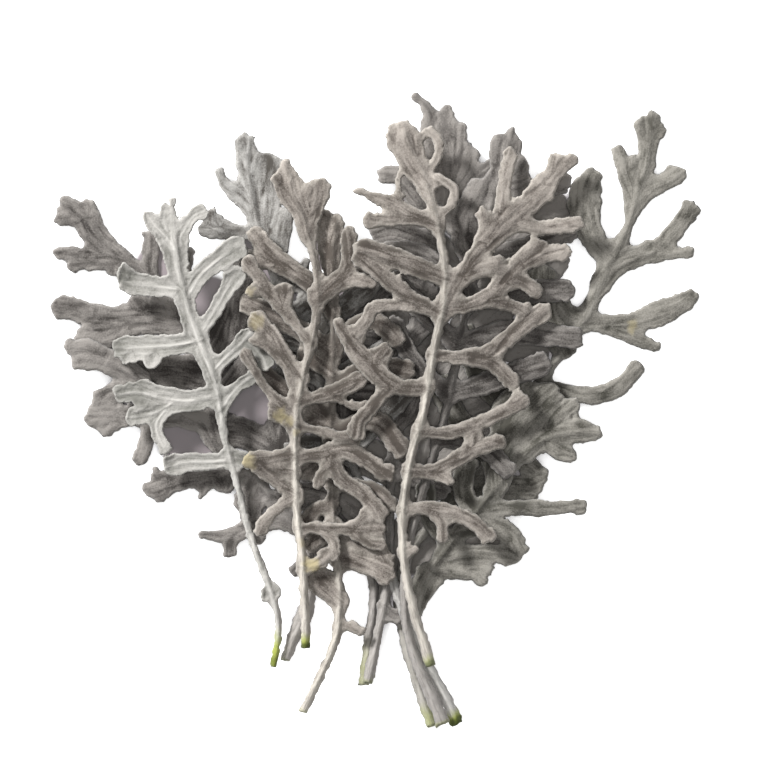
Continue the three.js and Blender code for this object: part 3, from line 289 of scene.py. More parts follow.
# ---- the leaves, from the lowest to the top one ----
# Each leaf has its midrib from the cut end of the stalk to the tip, then its lobes and their
# fingers. A line is its full width and the points of its middle, some with a width of their own.
LEAVES = [
  {
    "name": "leaf_low_middle",
    "colour": "SHADED_SILVER",
    "midrib": [3.2, [-3, -89.6], [-1.8, -81], [0, -71], [2, -61, 5], [5.2, -48, 5], [10, -34],
      [14, -20], [18, -6], [22.6, 8], [28, 22], [34.6, 36], [42, 50]],
    "lobes": [
      [9, [2, -60], [-5, -53.6], [-12, -51.6], [-19.4, -48.4]],
      [12, [3.6, -54], [-3, -43], [-9, -37.6], [-17.6, -35]],
      [12, [10, -34], [2, -26], [-6, -22.6], [-21, -19]],
      [12, [16, -13], [7, -11], [-2, -5], [-14, 2]],
      [12, [22.6, 8], [13, 13], [3, 18.6], [-8, 23.6]],
      [10, [28, 22], [14, 27.4], [4, 30.4], [-6.6, 32.4]],
      [11, [31, 30], [22.6, 35], [15, 40], [6, 42.6]],
      [10, [4, -56], [12, -53.4], [22, -48.8], [36, -47.2, 6]],
      [8, [6, -46], [14, -43.4], [23, -43]],
      [14, [12, -28], [24, -21], [35, -17]],
      [12, [15, -16], [23, -8.6], [31, -4.4], [39, -1]],
      [12, [20, 2], [28, 9], [37, 11.4], [51, 9.6]],
      [13, [26, 14], [34, 21.8], [43, 29.4], [55.4, 37, 7]],
      [10, [36, 39], [42, 45], [47, 49.6], [57, 52.4]],
    ],
  },
  {
    "name": "leaf_far_left",
    "colour": "SHADED_SILVER",
    "midrib": [3.2, [-4.8, -91.8], [-3.8, -83], [-2.9, -75], [-1.8, -66], [-3, -57], [-9, -46],
      [-18, -35], [-28, -25], [-37, -17.8], [-44, -13.2], [-48.8, -7.6], [-51.6, 1], [-58, 13],
      [-65, 24], [-71, 32], [-77, 36], [-82, 39.5], [-86, 45], [-91, 50.5]],
    "lobes": [
      [7.8, [-79, 37], [-83.6, 41, 7.6], [-87.2, 45.6, 8], [-89.2, 50, 7.4]],
      [4.4, [-86.4, 47], [-87.4, 50.6], [-87.2, 54.2]],
      [5.2, [-87.5, 48.5], [-91.6, 51.2], [-96.4, 53.8]],
      [4.4, [-87.5, 47.6], [-92.4, 48.8], [-97.8, 48]],
      [6.4, [-75.4, 35.6], [-82, 36.6, 6.6], [-89, 37]],
      [3.8, [-83, 37.6], [-90, 38], [-98.5, 38.2]],
      [3.4, [-82, 36], [-88, 35.2], [-94.2, 34.4]],
      [4.4, [-77, 36], [-79, 33.8], [-79.3, 31]],
      [11, [-60, 17.6], [-69, 18.6], [-79, 18, 9], [-89, 18.4, 7.4]],
      [7, [-84, 19.4], [-91, 21], [-98.4, 22.2]],
      [7.4, [-73, 14], [-83, 12.4], [-92, 12.2, 4]],
      [7, [-70, 19], [-72.6, 22], [-74.2, 25]],
      [7, [-59.5, 15.5], [-62.4, 26.6]],
      [5.4, [-65, 24], [-69.2, 33], [-69, 40], [-69.4, 45.2, 4.4]],
      [11.4, [-50, 1], [-60, 2.6], [-69, 2.8], [-79.6, 2, 7]],
      [8.6, [-48, -2], [-43.4, 7], [-41.8, 20], [-40, 39.6]],
      [8, [-53, 5.4], [-50, 13], [-46.6, 22.4]],
      [4.4, [-62, 19.6], [-59.6, 30], [-57.4, 39.6, 3.4]],
      [11, [-29, -24], [-29.2, -14], [-25.4, -5], [-22, 4]],
      [8, [-25, -4], [-25, 8], [-24, 20]],
      [8, [-43, 8], [-38.4, 14], [-35.6, 26.6]],
      [9, [-34.6, -16.2, 9], [-42, -15.8, 9], [-48.4, -15.4]],
      [12, [-18, -35], [-13, -24], [-12, -12], [-12, 7]],
    ],
  },
  {
    "name": "leaf_far_right",
    "colour": "GREEN_SILVER",
    "midrib": [3.4, [15.7, -104.5], [12.4, -95], [9.3, -85], [6.7, -75], [5.7, -66], [7, -56],
      [13, -46], [22, -35], [32, -23], [41.6, -11], [49.2, 0], [55.4, 10], [61.8, 19, 5.2],
      [65, 26, 4.6], [67.6, 32, 5], [71.4, 39.4, 5.6], [74.5, 46, 3], [76, 51, 3.2],
      [77.2, 56, 5], [79.6, 63, 6], [80.8, 70, 5], [82, 80.2, 4.6]],
    "lobes": [
      [4.4, [80.6, 70], [79.4, 74], [78, 77.6]],
      [3.8, [81.2, 71], [83, 74.2], [85.2, 76.2]],
      [4.6, [76.6, 53], [74.4, 60, 4.8], [71.2, 70.3, 3.6]],
      [5, [78, 57], [76.4, 62], [76, 66.8]],
      [5.8, [76.4, 52], [81, 57.2], [86, 59.8, 5.8], [91, 63]],
      [7.4, [66, 28.6], [71, 34.6, 7.6], [78, 37.4, 6.4], [84.6, 39.5, 5.4]],
      [5.4, [80, 38.2], [85, 41], [90, 46.2], [94.4, 53.2]],
      [4.2, [80, 37.8], [87, 38.2, 4.2], [94.8, 38.8, 2.8]],
      [9, [70, 36], [65.2, 41, 7.4], [61.8, 48.6, 9.4], [61.7, 55, 10.4], [64.4, 63, 3.6]],
      [6, [60.6, 16.8], [68, 16.8, 5.4], [76, 17.6, 5.4], [84, 20, 8], [90, 22.6, 6.6],
        [95, 25.6, 4]],
      [5, [68, 16.4], [76, 13, 4.8], [84.2, 9.5, 3]],
      [5.6, [49, -0.8], [56, -3.7], [65, -4.5], [72, -2], [79, 5.2, 4.6]],
      [6.4, [62, 18.6], [57, 19.8], [53, 24]],
      [10, [55, 10], [51.4, 16], [49, 24], [48.4, 34]],
      [8.6, [42, -11], [35, -4], [29.5, 4], [24, 16]],
      [7.6, [32, -23], [25.5, -14], [20, -6], [17.5, 1]],
      [5.6, [32, -23], [39, -22], [44, -25], [49.8, -28.6, 2]],
      [8, [22, -35], [30, -32], [39, -32.4], [47.6, -33, 6.4]],
      [3.8, [40, -31.5], [46, -30.8], [50.2, -28.8, 2]],
    ],
  },
  {
    "name": "leaf_low_left",
    "colour": "SHADED_SILVER",
    "midrib": [3.1, [-28.6, -84.8], [-26.2, -78, 3.6], [-23.2, -71.6, 5.2], [-21.1, -63, 3.6],
      [-22.2, -50], [-28.6, -40], [-37.5, -30], [-47.5, -20.5], [-57, -12], [-66, -5],
      [-74, 1.5], [-82, 5.5]],
    "lobes": [
      [8, [-72, 0], [-79, 4.4], [-86, 6.2, 7], [-92.2, 5.8, 5.4]],
      [5, [-80, 6], [-87, 9.8], [-94.6, 10, 3.6]],
      [6, [-64, -6], [-73, -3.2], [-79.5, -4], [-85.8, -6.6]],
      [6.4, [-57, -12], [-66, -11], [-76, -11], [-88.6, -11.2]],
      [4, [-77, -12], [-80, -13.6], [-83.2, -16.4]],
      [4.8, [-66.4, -11], [-69.4, -15.4], [-70.8, -19.4], [-72.6, -25.2, 3.6]],
      [6.4, [-40, -26.4], [-48, -29], [-57, -29.8, 5.4], [-65, -31.6, 6], [-70.8, -33.6, 4]],
      [3.4, [-62, -31], [-65.6, -34], [-66.4, -36.6, 1.6]],
      [3.4, [-61, -30.6], [-66, -29.2], [-67.8, -26.4, 1.8]],
      [3.4, [-50, -30], [-53, -32.2], [-54.2, -35.3, 1.4]],
      [3.6, [-43.5, -29], [-46.6, -31], [-47.2, -34.2]],
      [8, [-49, -19], [-53, -11.6], [-61, -9]],
      [6.2, [-50.4, -17.6], [-49.8, -10], [-47, -4], [-43, 1.6], [-38.4, 7.6]],
      [9, [-31, -37], [-25, -35], [-18, -36.6], [-14.5, -42, 6]],
      [5.2, [-25, -45], [-31, -42.8], [-37.4, -43.6], [-46, -46.8, 4], [-54.4, -47, 1.8]],
      [3.4, [-41, -45.5], [-44.4, -48.6], [-45.4, -53.6]],
      [3.4, [-36, -43.6], [-36.6, -46], [-36.4, -48.4, 2]],
      [8, [-37.4, -30], [-39.6, -35], [-39, -41]],
      [3.2, [-21.5, -57], [-24.6, -56], [-26.2, -58.4]],
    ],
  },
  {
    "name": "leaf_back_top",
    "colour": "SHADED_SILVER",
    "midrib": [3.1, [-3.8, -91.3], [-2, -83], [-0.6, -76], [1.3, -67], [2.6, -56], [3, -44],
      [3.2, -32], [4, -18], [6, -3], [9, 12], [12.5, 27], [16, 41], [19.4, 54], [19.6, 66],
      [17, 76]],
    "lobes": [
      [9.4, [18, 49], [20, 59, 9.4], [19.6, 69, 9.6], [17, 79, 7]],
      [6.4, [16.4, 62], [15, 70], [15.2, 79, 5.4], [13, 83.4, 2.8], [9.8, 86.2, 1.4]],
      [4.4, [20, 67], [21, 75], [20.3, 82.8, 2.6]],
      [5, [20.5, 60], [23.4, 69], [24.4, 77.2, 3]],
      [5.8, [20.5, 57], [25.2, 63], [27.4, 70.4]],
      [5.6, [19.5, 54], [26.5, 58], [31.5, 62.5], [37, 65.5]],
      [5.2, [19, 54], [13, 57.5], [8, 61.3], [-0.4, 61.7]],
      [8.2, [16, 41], [9, 43.2], [2.6, 45], [-2.2, 43.6]],
      [7.4, [12.5, 27], [5, 30], [0, 27], [-5, 16.5]],
      [7.4, [9, 12], [1, 11.6], [-6, 12.6], [-16.5, 16.5]],
      [7.4, [6, -3], [-2, -4.6], [-10, -3.4], [-21, 1.5]],
      [6, [3.6, -26], [9, -29], [15, -31.4], [20.5, -34.4]],
      [6, [4.4, -14], [9.4, -9], [12.4, 3]],
      [6.4, [9, 12], [14, 17.4], [16, 28]],
      [4.6, [1.3, -68], [4, -70.8], [7.4, -70.6]],
    ],
  },
  {
    "name": "leaf_low_right",
    "colour": "GREEN_SILVER",
    "midrib": [3.4, [12.4, -83.5], [10.7, -75], [11.3, -67], [15.2, -58], [21, -49.4], [28, -40.6],
      [35, -32], [42, -24], [49, -18], [57, -16, 4.6], [67.2, -16, 3.6]],
    "lobes": [
      [7.4, [44, -21.5], [51, -16.5], [58, -15.2], [63, -15.6]],
      [5.4, [48.5, -17], [53.5, -11], [59, -6.6]],
      [5, [49.5, -18.5], [54, -21.4], [58.9, -23.4]],
      [4.9, [29, -39], [38, -38.4], [48, -38.6], [62, -38, 3.4]],
      [6.4, [24, -45], [31, -44], [38, -45.6], [42.6, -53]],
      [5.6, [18.6, -53], [26, -52.2], [34, -52.2], [41.4, -53.4]],
      [5.6, [15.6, -57], [22, -57.4], [27.6, -58, 4.6], [31.2, -61, 2.2]],
      [3.8, [24, -57], [29, -56], [34, -57]],
      [8, [11.4, -66], [13, -62], [16, -56.6]],
      [6, [21, -49.4], [15.6, -42.6], [13, -30]],
      [6.6, [28, -40.6], [25, -33], [26, -22.5]],
      [9.4, [35, -32], [35.6, -22], [42, -12.6], [52.5, -2.6]],
      [6, [36, -19], [35.4, -11], [39.6, -5], [44, 0.4]],
    ],
  },
  {
    "name": "leaf_back_left",
    "colour": "GREEN_SILVER",
    "midrib": [3.3, [23.4, -103.6, 4.2], [18.8, -93.8, 3.8], [13.4, -84.6, 3.4], [9.1, -75],
      [5.4, -65], [1.4, -52], [-3.6, -38], [-9.6, -22], [-16, -5], [-22.6, 11], [-29, 26],
      [-34, 38], [-37.2, 48], [-39.2, 58], [-40.4, 68]],
    "lobes": [
      [6, [-36.6, 46], [-38.8, 56], [-40.4, 66], [-40.6, 73.8]],
      [5.4, [-38.2, 51], [-42.4, 56, 6.4], [-46.4, 59, 3.8], [-48.5, 63.2, 2.2]],
      [4.6, [-40, 60], [-38.4, 63.6], [-36.6, 67.8]],
      [6.2, [-33.6, 37], [-34.8, 47], [-34.6, 57], [-32.8, 67.8, 3.8]],
      [3, [-31.6, 42], [-31, 54], [-30.6, 66]],
      [4.2, [-30.2, 30], [-29.6, 40], [-27.6, 51.4]],
      [4.8, [-36, 43], [-42, 44.4], [-48, 45.2, 5.4], [-54, 45.6, 4]],
      [5, [-47, 45], [-49.8, 47.4], [-51, 51, 3]],
      [5.6, [-29, 26], [-25, 30.4], [-21.9, 36.2, 2.2]],
      [7.4, [-26, 18.6], [-21.4, 23], [-17, 29]],
      [7.2, [-22.6, 11], [-15, 18.4], [-9, 23.4], [-1, 31]],
      [7.2, [-16, -5], [-9, 2.6], [-2, 6.6], [8, 14]],
      [6.6, [-9.6, -22], [-3, -15], [2.6, -9.4], [11, 1]],
      [6, [-22.6, 11], [-30, 12], [-37, 12.4], [-42.4, 11]],
      [5.6, [-19, 2], [-25, 1.4], [-31, 3]],
      [7.4, [-9.6, -22], [-16, -20.4], [-22, -20], [-28, -23.4]],
    ],
  },
  {
    "name": "leaf_back_right",
    "colour": "SHADED_SILVER",
    "midrib": [3, [19, -103.2, 4.4], [15.2, -94, 4], [10.8, -84, 3.2], [8, -74], [7.4, -62],
      [9, -48], [13, -33], [17.4, -18], [21, -4], [23.6, 10], [26.6, 24], [29.6, 38], [32.6, 50],
      [35.6, 60], [37.6, 67], [39.8, 75.8]],
    "lobes": [
      [7.2, [31, 45], [34.4, 56], [38, 67], [39.6, 73]],
      [4, [35.6, 62], [35, 69], [36.2, 73.6]],
      [5.6, [36.6, 60], [40.4, 63], [42.8, 67]],
      [6, [36, 56], [41, 58.6], [45, 60.6]],
      [7.4, [28, 33], [25, 42], [26.4, 51], [31.6, 60.4]],
      [6.4, [32.6, 50], [40, 52.4], [47, 56], [56.6, 60.6]],
      [6.4, [29.6, 38], [38, 38.6], [47, 41], [58.6, 45.6]],
      [6.8, [26.6, 24], [35, 24.6], [44, 26.4], [58, 27]],
      [7.6, [23.6, 10], [32, 13], [41, 14.4], [60.6, 12.2, 6.4]],
      [7.2, [21, -4], [29, -2], [38, 1.4], [51, 5.2]],
      [6, [17.4, -18], [25, -18.6], [32, -21], [39.6, -29]],
      [7, [26.6, 24], [20, 31.4], [13, 37], [1, 39]],
      [6.4, [29.6, 38], [22, 47], [14, 51.6], [6.4, 61.4]],
      [6.6, [23.6, 10], [17, 17], [11.6, 22], [2.6, 31.6]],
      [5.6, [21, -4], [14, 1.4], [9, 7.6], [3.4, 18.6]],
    ],
  },
  {
    "name": "leaf_back_middle",
    "colour": "WARM_SILVER",
    "midrib": [2.7, [-23.2, -100], [-19, -91], [-15.2, -83], [-12.8, -75], [-12.2, -65],
      [-12.6, -55], [-13.8, -44], [-14.6, -32], [-15, -18], [-14.6, -4], [-14.2, 10],
      [-14.2, 22], [-14.4, 32], [-14, 41], [-12.9, 49.4]],
    "lobes": [
      [5.6, [-14.3, 28], [-14.6, 38], [-13.2, 47.6]],
      [3.8, [-14.6, 35], [-17, 42], [-16.8, 51]],
      [6.4, [-14.8, -12], [-21.6, -7], [-28, -3.6], [-37.4, 3]],
      [6.6, [-14.2, 8], [-20.6, 13], [-27.6, 17], [-41.6, 23.8]],
      [6, [-14.4, 2], [-19.4, 5.6], [-24.4, 8]],
      [5.4, [-14.9, -14], [-19.6, -12.8], [-24, -13.6]],
      [6, [-14.8, -22.5], [-19, -26], [-23.4, -29]],
      [6.4, [-14.2, 20], [-20.2, 28.4], [-27, 33.2], [-33.4, 38.4], [-38.6, 45, 5]],
      [4.4, [-29, 34.4], [-35, 35.2], [-42, 36]],
      [6.6, [-14.6, -4], [-8, 1.4], [-1, 3.6], [10, 2.6]],
      [6, [-14.2, 8], [-8, 15.4], [-2, 17.6], [6.4, 11.4]],
      [6.6, [-15, -18], [-8, -13.6], [-1, -12.4], [7.4, -22.4]],
      [6, [-14.6, -30], [-8, -32], [-1, -34], [4.4, -39]],
      [5.6, [-13.8, -44], [-7, -48], [-1, -50.4], [3, -55]],
      [7, [-12.5, -52.6], [-7, -54.4], [-1, -56.4], [4, -59.4]],
      [5, [-14.3, -37], [-19.6, -39.6], [-24, -46]],
      [5, [-13.8, -44], [-18.4, -47], [-22, -51]],
      [8, [-12.3, -66], [-16, -62.4], [-20.6, -57.4]],
      [3, [-12.5, -73], [-9, -73.7], [-4.8, -76]],
    ],
  },
  {
    "name": "leaf_front_left",
    "colour": "SILVER_WHITE",
    "midrib": [2.6, [-32.1, -86.6, 2.1], [-30.7, -78, 2.1], [-30.9, -71, 2.2], [-33, -63, 2.4],
      [-36.4, -54, 2.4], [-39.4, -45], [-41.6, -36], [-44, -27], [-46.4, -18], [-47.8, -9],
      [-50, 2], [-53.6, 12], [-57.4, 22], [-59.8, 32], [-61.2, 42], [-62.7, 55, 1.6]],
    "lobes": [
      [5, [-50.2, 0, 4.4], [-53, 8, 5.2], [-55.4, 14, 5], [-58.2, 22, 5.4], [-60.6, 32, 6],
        [-61.8, 40, 8], [-63, 46, 9]],
      [3, [-33, -63.8], [-31.8, -63.4], [-30.4, -63.2]],
      [3.2, [-32.8, -64], [-34, -64.8], [-34.8, -66]],
      [4.8, [-60.8, 37.6], [-64.4, 43.4], [-67.4, 46.4], [-70.2, 50.3, 2.6]],
      [3.6, [-62.4, 42.4], [-64.6, 46.8], [-64.4, 52.4, 1.6]],
      [6.6, [-59, 27], [-65, 27.8], [-71, 28.6], [-77.2, 29.6]],
      [4.6, [-73.4, 29], [-76, 31], [-76.6, 34.9]],
      [7, [-55, 11.5], [-62, 10.4], [-69, 10], [-80, 9.8]],
      [3.8, [-66, 9], [-68, 6.4], [-68.6, 3.6]],
      [4, [-72.5, 8.6], [-75.2, 7], [-76.6, 5.4]],
      [7.2, [-51, -5], [-58, -6.2], [-66, -5.4], [-73.5, -3.2]],
      [5.6, [-67, -4.4], [-73, -3.6], [-79.6, -4.8]],
      [4.6, [-61, -7.4], [-68, -10], [-76.6, -11.4]],
      [3.8, [-62.5, -9], [-67, -13.6], [-64, -22.4]],
      [6, [-46, -24.5], [-52, -24.6], [-58, -24.8], [-64.4, -26.4]],
      [4.2, [-60.8, 39], [-58.8, 44.6], [-55.8, 49], [-51.8, 51]],
      [5, [-57.8, 24.6], [-53.8, 31.2, 5.6], [-48.6, 35.8, 6.4], [-44, 39, 7.2], [-41.4, 41, 6]],
      [4.2, [-54, 13.4], [-49.6, 20.4, 4.2], [-46.4, 26.2, 4.6], [-43.2, 30.6, 6], [-41, 31.8, 5]],
      [4.8, [-50.4, 2.4], [-46.2, 6.6], [-42, 10.4], [-38.4, 14.6]],
      [5, [-41, 11.2], [-37.2, 9.4], [-34.8, 6.6], [-34, 3]],
      [3.6, [-47.8, -9.4], [-44.6, -4.4], [-41.4, -1], [-37, 1.6]],
      [4.2, [-45, -23.4], [-41.6, -23.4], [-38, -25.8]],
    ],
  },
  {
    "name": "leaf_front_middle",
    "colour": "WARM_SILVER",
    "midrib": [3, [-22.3, -80.4], [-22.5, -70], [-23, -60], [-23.6, -50], [-24.8, -41],
      [-25.3, -30], [-25.4, -15], [-24, -3], [-21.3, 8], [-19.4, 17], [-18.6, 25], [-19, 33],
      [-20.8, 41], [-23.2, 48], [-26, 55], [-28.6, 65.6]],
    "lobes": [
      [8, [-21, 43, 4], [-23.4, 50, 6], [-26.8, 56, 8], [-28, 61.6]],
      [3.6, [-26.8, 56], [-30.2, 59.4], [-32, 61.4]],
      [5.6, [-21.4, 44], [-19.9, 50], [-18.2, 55, 6], [-17.4, 60, 5]],
      [3.6, [-20.6, 49], [-22, 53.6], [-20.4, 58.4]],
      [4.4, [-20.4, 11], [-26, 17.6], [-31.5, 24.6], [-36, 30.4], [-41, 36.8, 4.6]],
      [5.2, [-24, 0.5], [-27.2, 6, 4.2], [-31.6, 12.4], [-35.5, 16.4, 6], [-38.4, 18.8, 5]],
      [2.4, [-25.4, -7], [-26.4, -2], [-28, 3], [-31, 7.4], [-35, 10.4], [-39, 12.4]],
      [3, [-31, 24.6], [-35.6, 26], [-40, 26.6, 3.2]],
      [3.4, [-29.2, 21.8], [-28.6, 24, 4.6], [-27.8, 28.8, 5.6]],
      [4.6, [-25.3, -12], [-29.6, -7.2], [-33.6, -3, 3], [-41.2, 9.6, 4]],
      [5, [-26, -14.5], [-29.4, -10.8], [-33.4, -8.6]],
      [5.4, [-25.6, -22.5], [-31, -23.4], [-36, -23.8], [-40.4, -24.2]],
      [4, [-25.4, -27.5], [-31, -26.8], [-36.4, -25.6]],
      [4.6, [-25.4, -34], [-30.2, -31], [-34, -27.4], [-37.6, -23]],
      [3.8, [-25.2, -35], [-30, -37.8], [-33.6, -41], [-36.8, -46.6]],
      [4.8, [-18.6, 25, 7], [-14, 28.4, 6], [-10, 32.4, 5], [-9.2, 45.2]],
      [4.4, [-13, 29.4], [-7, 30], [-1, 28.6]],
      [5.2, [-23.8, -6.5], [-18.6, -5], [-13, -3.4], [-7, -0.4], [-4.6, 1.4, 4]],
      [3, [-14, -5], [-9, -7.4], [-4, -7.6], [0, -5.4], [1, -2.6]],
      [3.2, [-25.2, -13.6], [-18, -15.4], [-12, -16.8], [-6, -17]],
      [5.4, [-25, -23.5], [-18, -22.4], [-10, -21.4], [3.8, -29]],
      [5.2, [-15, -22.5], [-11.6, -29.6], [-5.6, -33.6], [1.6, -41.4]],
      [3.2, [-14, -25], [-17.4, -28], [-18.8, -32.2]],
      [4, [-24.4, -44.4], [-16, -44.4], [-8, -44.8], [1.8, -44.4]],
      [3, [-8, -44.8], [-5.4, -41.6], [-3.4, -39.4]],
      [3.4, [-18.5, -44.6], [-14, -48.4], [-13.2, -53.4]],
      [3.4, [-9, -45.2], [-4, -48.4], [1.4, -49.8]],
      [4, [-23.2, -56.4], [-19.4, -55.4], [-15, -52]],
    ],
  },
  {
    "name": "leaf_front_right",
    "colour": "WARM_SILVER",
    "midrib": [3.2, [15.3, -85.6], [13.6, -80], [10.4, -70], [8, -60], [6.8, -50], [6.8, -40],
      [8, -30], [10.1, -20], [12.9, -10], [14.7, 0], [16.5, 11], [18.5, 20], [19.5, 28],
      [19, 37], [17.4, 46], [15, 55], [12.6, 62], [9, 69], [6.5, 77.6]],
    "lobes": [
      [8.2, [13.6, 59], [10.2, 64.6], [7, 71], [6.4, 75.6, 7]],
      [4, [8, 66], [5.6, 70.6], [3.8, 75.7]],
      [4, [10.6, 64.6], [11.2, 69.4], [10.8, 74.4]],
      [1.8, [13.6, 50.5], [13.4, 56], [10.6, 61], [6.8, 62.2], [5.4, 58.8], [6.6, 54]],
      [3.2, [13, 61], [16.8, 65.6], [17.6, 71], [14.2, 75]],
      [3.2, [17, 48], [21.4, 52.4], [22, 57], [17.2, 60.6]],
      [5.4, [17.4, 46], [9.4, 49.6], [3, 52.8, 5], [-2, 54.6, 3.2], [-7.5, 57, 1.4]],
      [4.2, [12, 48.4], [4, 48], [-4.6, 47.6]],
      [6.6, [19.3, 31], [13, 32.8], [5, 36.2], [-7.2, 40]],
      [5.6, [18, 19.8], [9.6, 24.2], [2.4, 30], [-7, 37.8]],
      [4.2, [13, 22.6], [5, 22.4], [-2, 21.4], [-4.4, 17], [-8, 12]],
      [6.4, [14.4, -2.5], [4, -1.6], [-3, 4.2, 7], [-7.6, 9.6, 6], [-13, 18, 2.8]],
      [5.4, [-2.6, 4], [0, 7.4], [2.4, 9.8]],
      [5, [3, -1.5], [-2.6, -8.6], [-6.2, -12.6], [-7.4, -18]],
      [5.4, [19.2, 21.5], [24, 30], [30, 39], [37, 47.4]],
      [5.6, [24.6, 30.6], [30.4, 33.2], [37.4, 34.8]],
      [9, [32, 42], [37.6, 47.4, 9], [44, 52.6, 7], [51, 60]],
      [4.4, [36.4, 46], [36.8, 54], [37.8, 61.4], [39.4, 69.4]],
      [3.4, [31.8, 41.6], [31.4, 46.6], [30.4, 51.6]],
      [4.8, [40, 47], [46, 45.8], [53, 46], [61, 47.2]],
      [4.4, [46, 54.8], [51.8, 61], [58.4, 67.4]],
      [3.8, [49.5, 58], [51.6, 62.6], [52.6, 67.9]],
      [5.4, [18.9, 20.8], [27, 22.6], [34, 26], [40, 33], [48.6, 41.6]],
      [4.8, [41, 34], [47, 36.4], [51, 37.8], [57, 38.6]],
      [4.4, [37, 29.4], [42.4, 29.4], [48, 25.6]],
      [4.2, [31.5, 24.4], [38, 22.6], [45.5, 19.8]],
      [5.4, [16, 7], [24, 6.8], [31, 7.4], [36.4, 10.8], [42, 15.4], [50.6, 21.8]],
      [5.2, [27, 6.8], [33, 5.2], [37.4, 1.8], [41, -1.8, 4]],
      [4.8, [11.8, -15.4], [21, -15.8], [29, -13.2], [37, -9.4], [44.2, -5.2, 5.4]],
      [4.9, [8.6, -27], [15.4, -27.4], [21.4, -24.6], [28, -20.8], [38, -17.8]],
      [3.2, [25, -22.4], [27.4, -19.6], [28.6, -15.2]],
      [3.4, [15, -27.2], [18, -28.4], [21.4, -31]],
      [4.8, [6.8, -39], [14, -38.4], [22, -39.8], [28, -42.8], [34, -48]],
      [3.4, [14.5, -38.8], [18.2, -42.4], [18.8, -48.3]],
      [2.8, [6.7, -51.6], [8.6, -51.2], [10.8, -50]],
    ],
  },
]

# ---- lines of a leaf ----

def spline(points):
    """A centripetal Catmull-Rom curve through rows of numbers, LINE_STEP apart or less."""
    given = np.array(points, float)
    rows = np.vstack([2 * given[0] - given[1], given, 2 * given[-1] - given[-2]])
    parts = []
    for before, start, end, after in zip(rows, rows[1:], rows[2:], rows[3:]):
        gap_in, gap, gap_out = (
            math.sqrt(max(SMALLEST_GAP, np.linalg.norm(b - a)))
            for a, b in ((before, start), (start, end), (end, after))
        )
        leave = gap * (
            (start - before) / gap_in - (end - before) / (gap_in + gap) + (end - start) / gap
        )
        arrive = gap * (
            (end - start) / gap - (after - start) / (gap + gap_out) + (after - end) / gap_out
        )
        count = max(2, math.ceil(np.linalg.norm(end[:2] - start[:2]) / LINE_STEP))
        t = np.arange(count)[:, None] / count
        bend = 2 * (start - end) + leave + arrive
        swing = -3 * (start - end) - 2 * leave - arrive
        parts.append(((bend * t + swing) * t + leave) * t + start)
    parts.append(given[-1:])
    return np.vstack(parts)


def smooth(value, low, high):
    """0 below low, 1 above high and an S-curve between them."""
    part = np.clip((value - low) / (high - low), 0, 1)
    return part * part * (3 - 2 * part)


def lobe_width(stop):
    """A lobe is narrow where it grows out of its parent, and full from its middle on."""
    return ROOT_WIDTH + (1 - ROOT_WIDTH) * smooth(stop, 0, ROOT_LENGTH)


def rib_width(stop):
    """A midrib is a little narrower halfway than at its two ends."""
    return 1 - RIB_WAIST * math.sin(math.pi * stop)


def make_line(line, parents):
    """A line of the leaf as places with a half width, a heading and a length from its start."""
    points = [list(p[:2]) for p in line[1:]]
    shape = rib_width
    if parents:
        # A lobe starts on the line that it is nearest to.
        nearest = min(parents, key=lambda p: np.hypot(*(p["at"] - points[0]).T).min())["at"]
        points[0] = list(nearest[np.argmin(np.hypot(*(nearest - points[0]).T))])
        shape = lobe_width
    rows = []
    for i, (x, y) in enumerate(points):
        own = line[1 + i][2] if len(line[1 + i]) > 2 else line[0] * shape(i / (len(points) - 1))
        rows.append((x, y, own))
    rows = spline(rows)
    at, half = rows[:, :2], rows[:, 2] / 2
    along = np.concatenate([[0], np.cumsum(np.hypot(*np.diff(at, axis=0).T))])
    # A lobe ends in a round tip, so its line stops that much earlier.
    keep = along <= along[-1] - ROUND_TIP * half[-1]
    at, half, along = at[keep], np.maximum(half[keep], THINNEST), along[keep]
    heading = np.gradient(at, axis=0)
    heading /= np.hypot(*heading.T)[:, None]
    return {"at": at, "half": half, "along": along, "heading": heading, "length": along[-1]}


# ---- fields over a leaf ----

def noise(x, y, seed):
    """Smooth random values from -1 to 1 over a plane whose cells are one unit wide."""
    i, j = np.floor(x).astype(np.int64), np.floor(y).astype(np.int64)
    fx, fy = x - i, y - j
    fx, fy = fx * fx * (3 - 2 * fx), fy * fy * (3 - 2 * fy)

    def corner(di, dj):
        # Large primes and shifts mix the corner's place and the seed into 16 random bits.
        n = ((i + di) * 374761393 + (j + dj) * 668265263 + seed * 974634777) & 0xFFFFFFFF
        n = ((n ^ (n >> 13)) * 1274126177) & 0xFFFFFFFF
        return ((n ^ (n >> 16)) & 0xFFFF) / 32767.5 - 1

    low = corner(0, 0) * (1 - fx) + corner(1, 0) * fx
    high = corner(0, 1) * (1 - fx) + corner(1, 1) * fx
    return low * (1 - fy) + high * fy


def blur(values, steps):
    """Three box blurs, which come close to a bell curve."""
    for axis in (0, 1):
        for _ in range(3):
            wide = np.concatenate([
                np.repeat(np.take(values, [0], axis), steps + 1, axis),
                values,
                np.repeat(np.take(values, [-1], axis), steps, axis),
            ], axis)
            total = np.cumsum(wide, axis)
            span = 2 * steps + 1
            size = values.shape[axis]
            values = (
                np.take(total, range(span, span + size), axis)
                - np.take(total, range(size), axis)
            ) / span
    return values


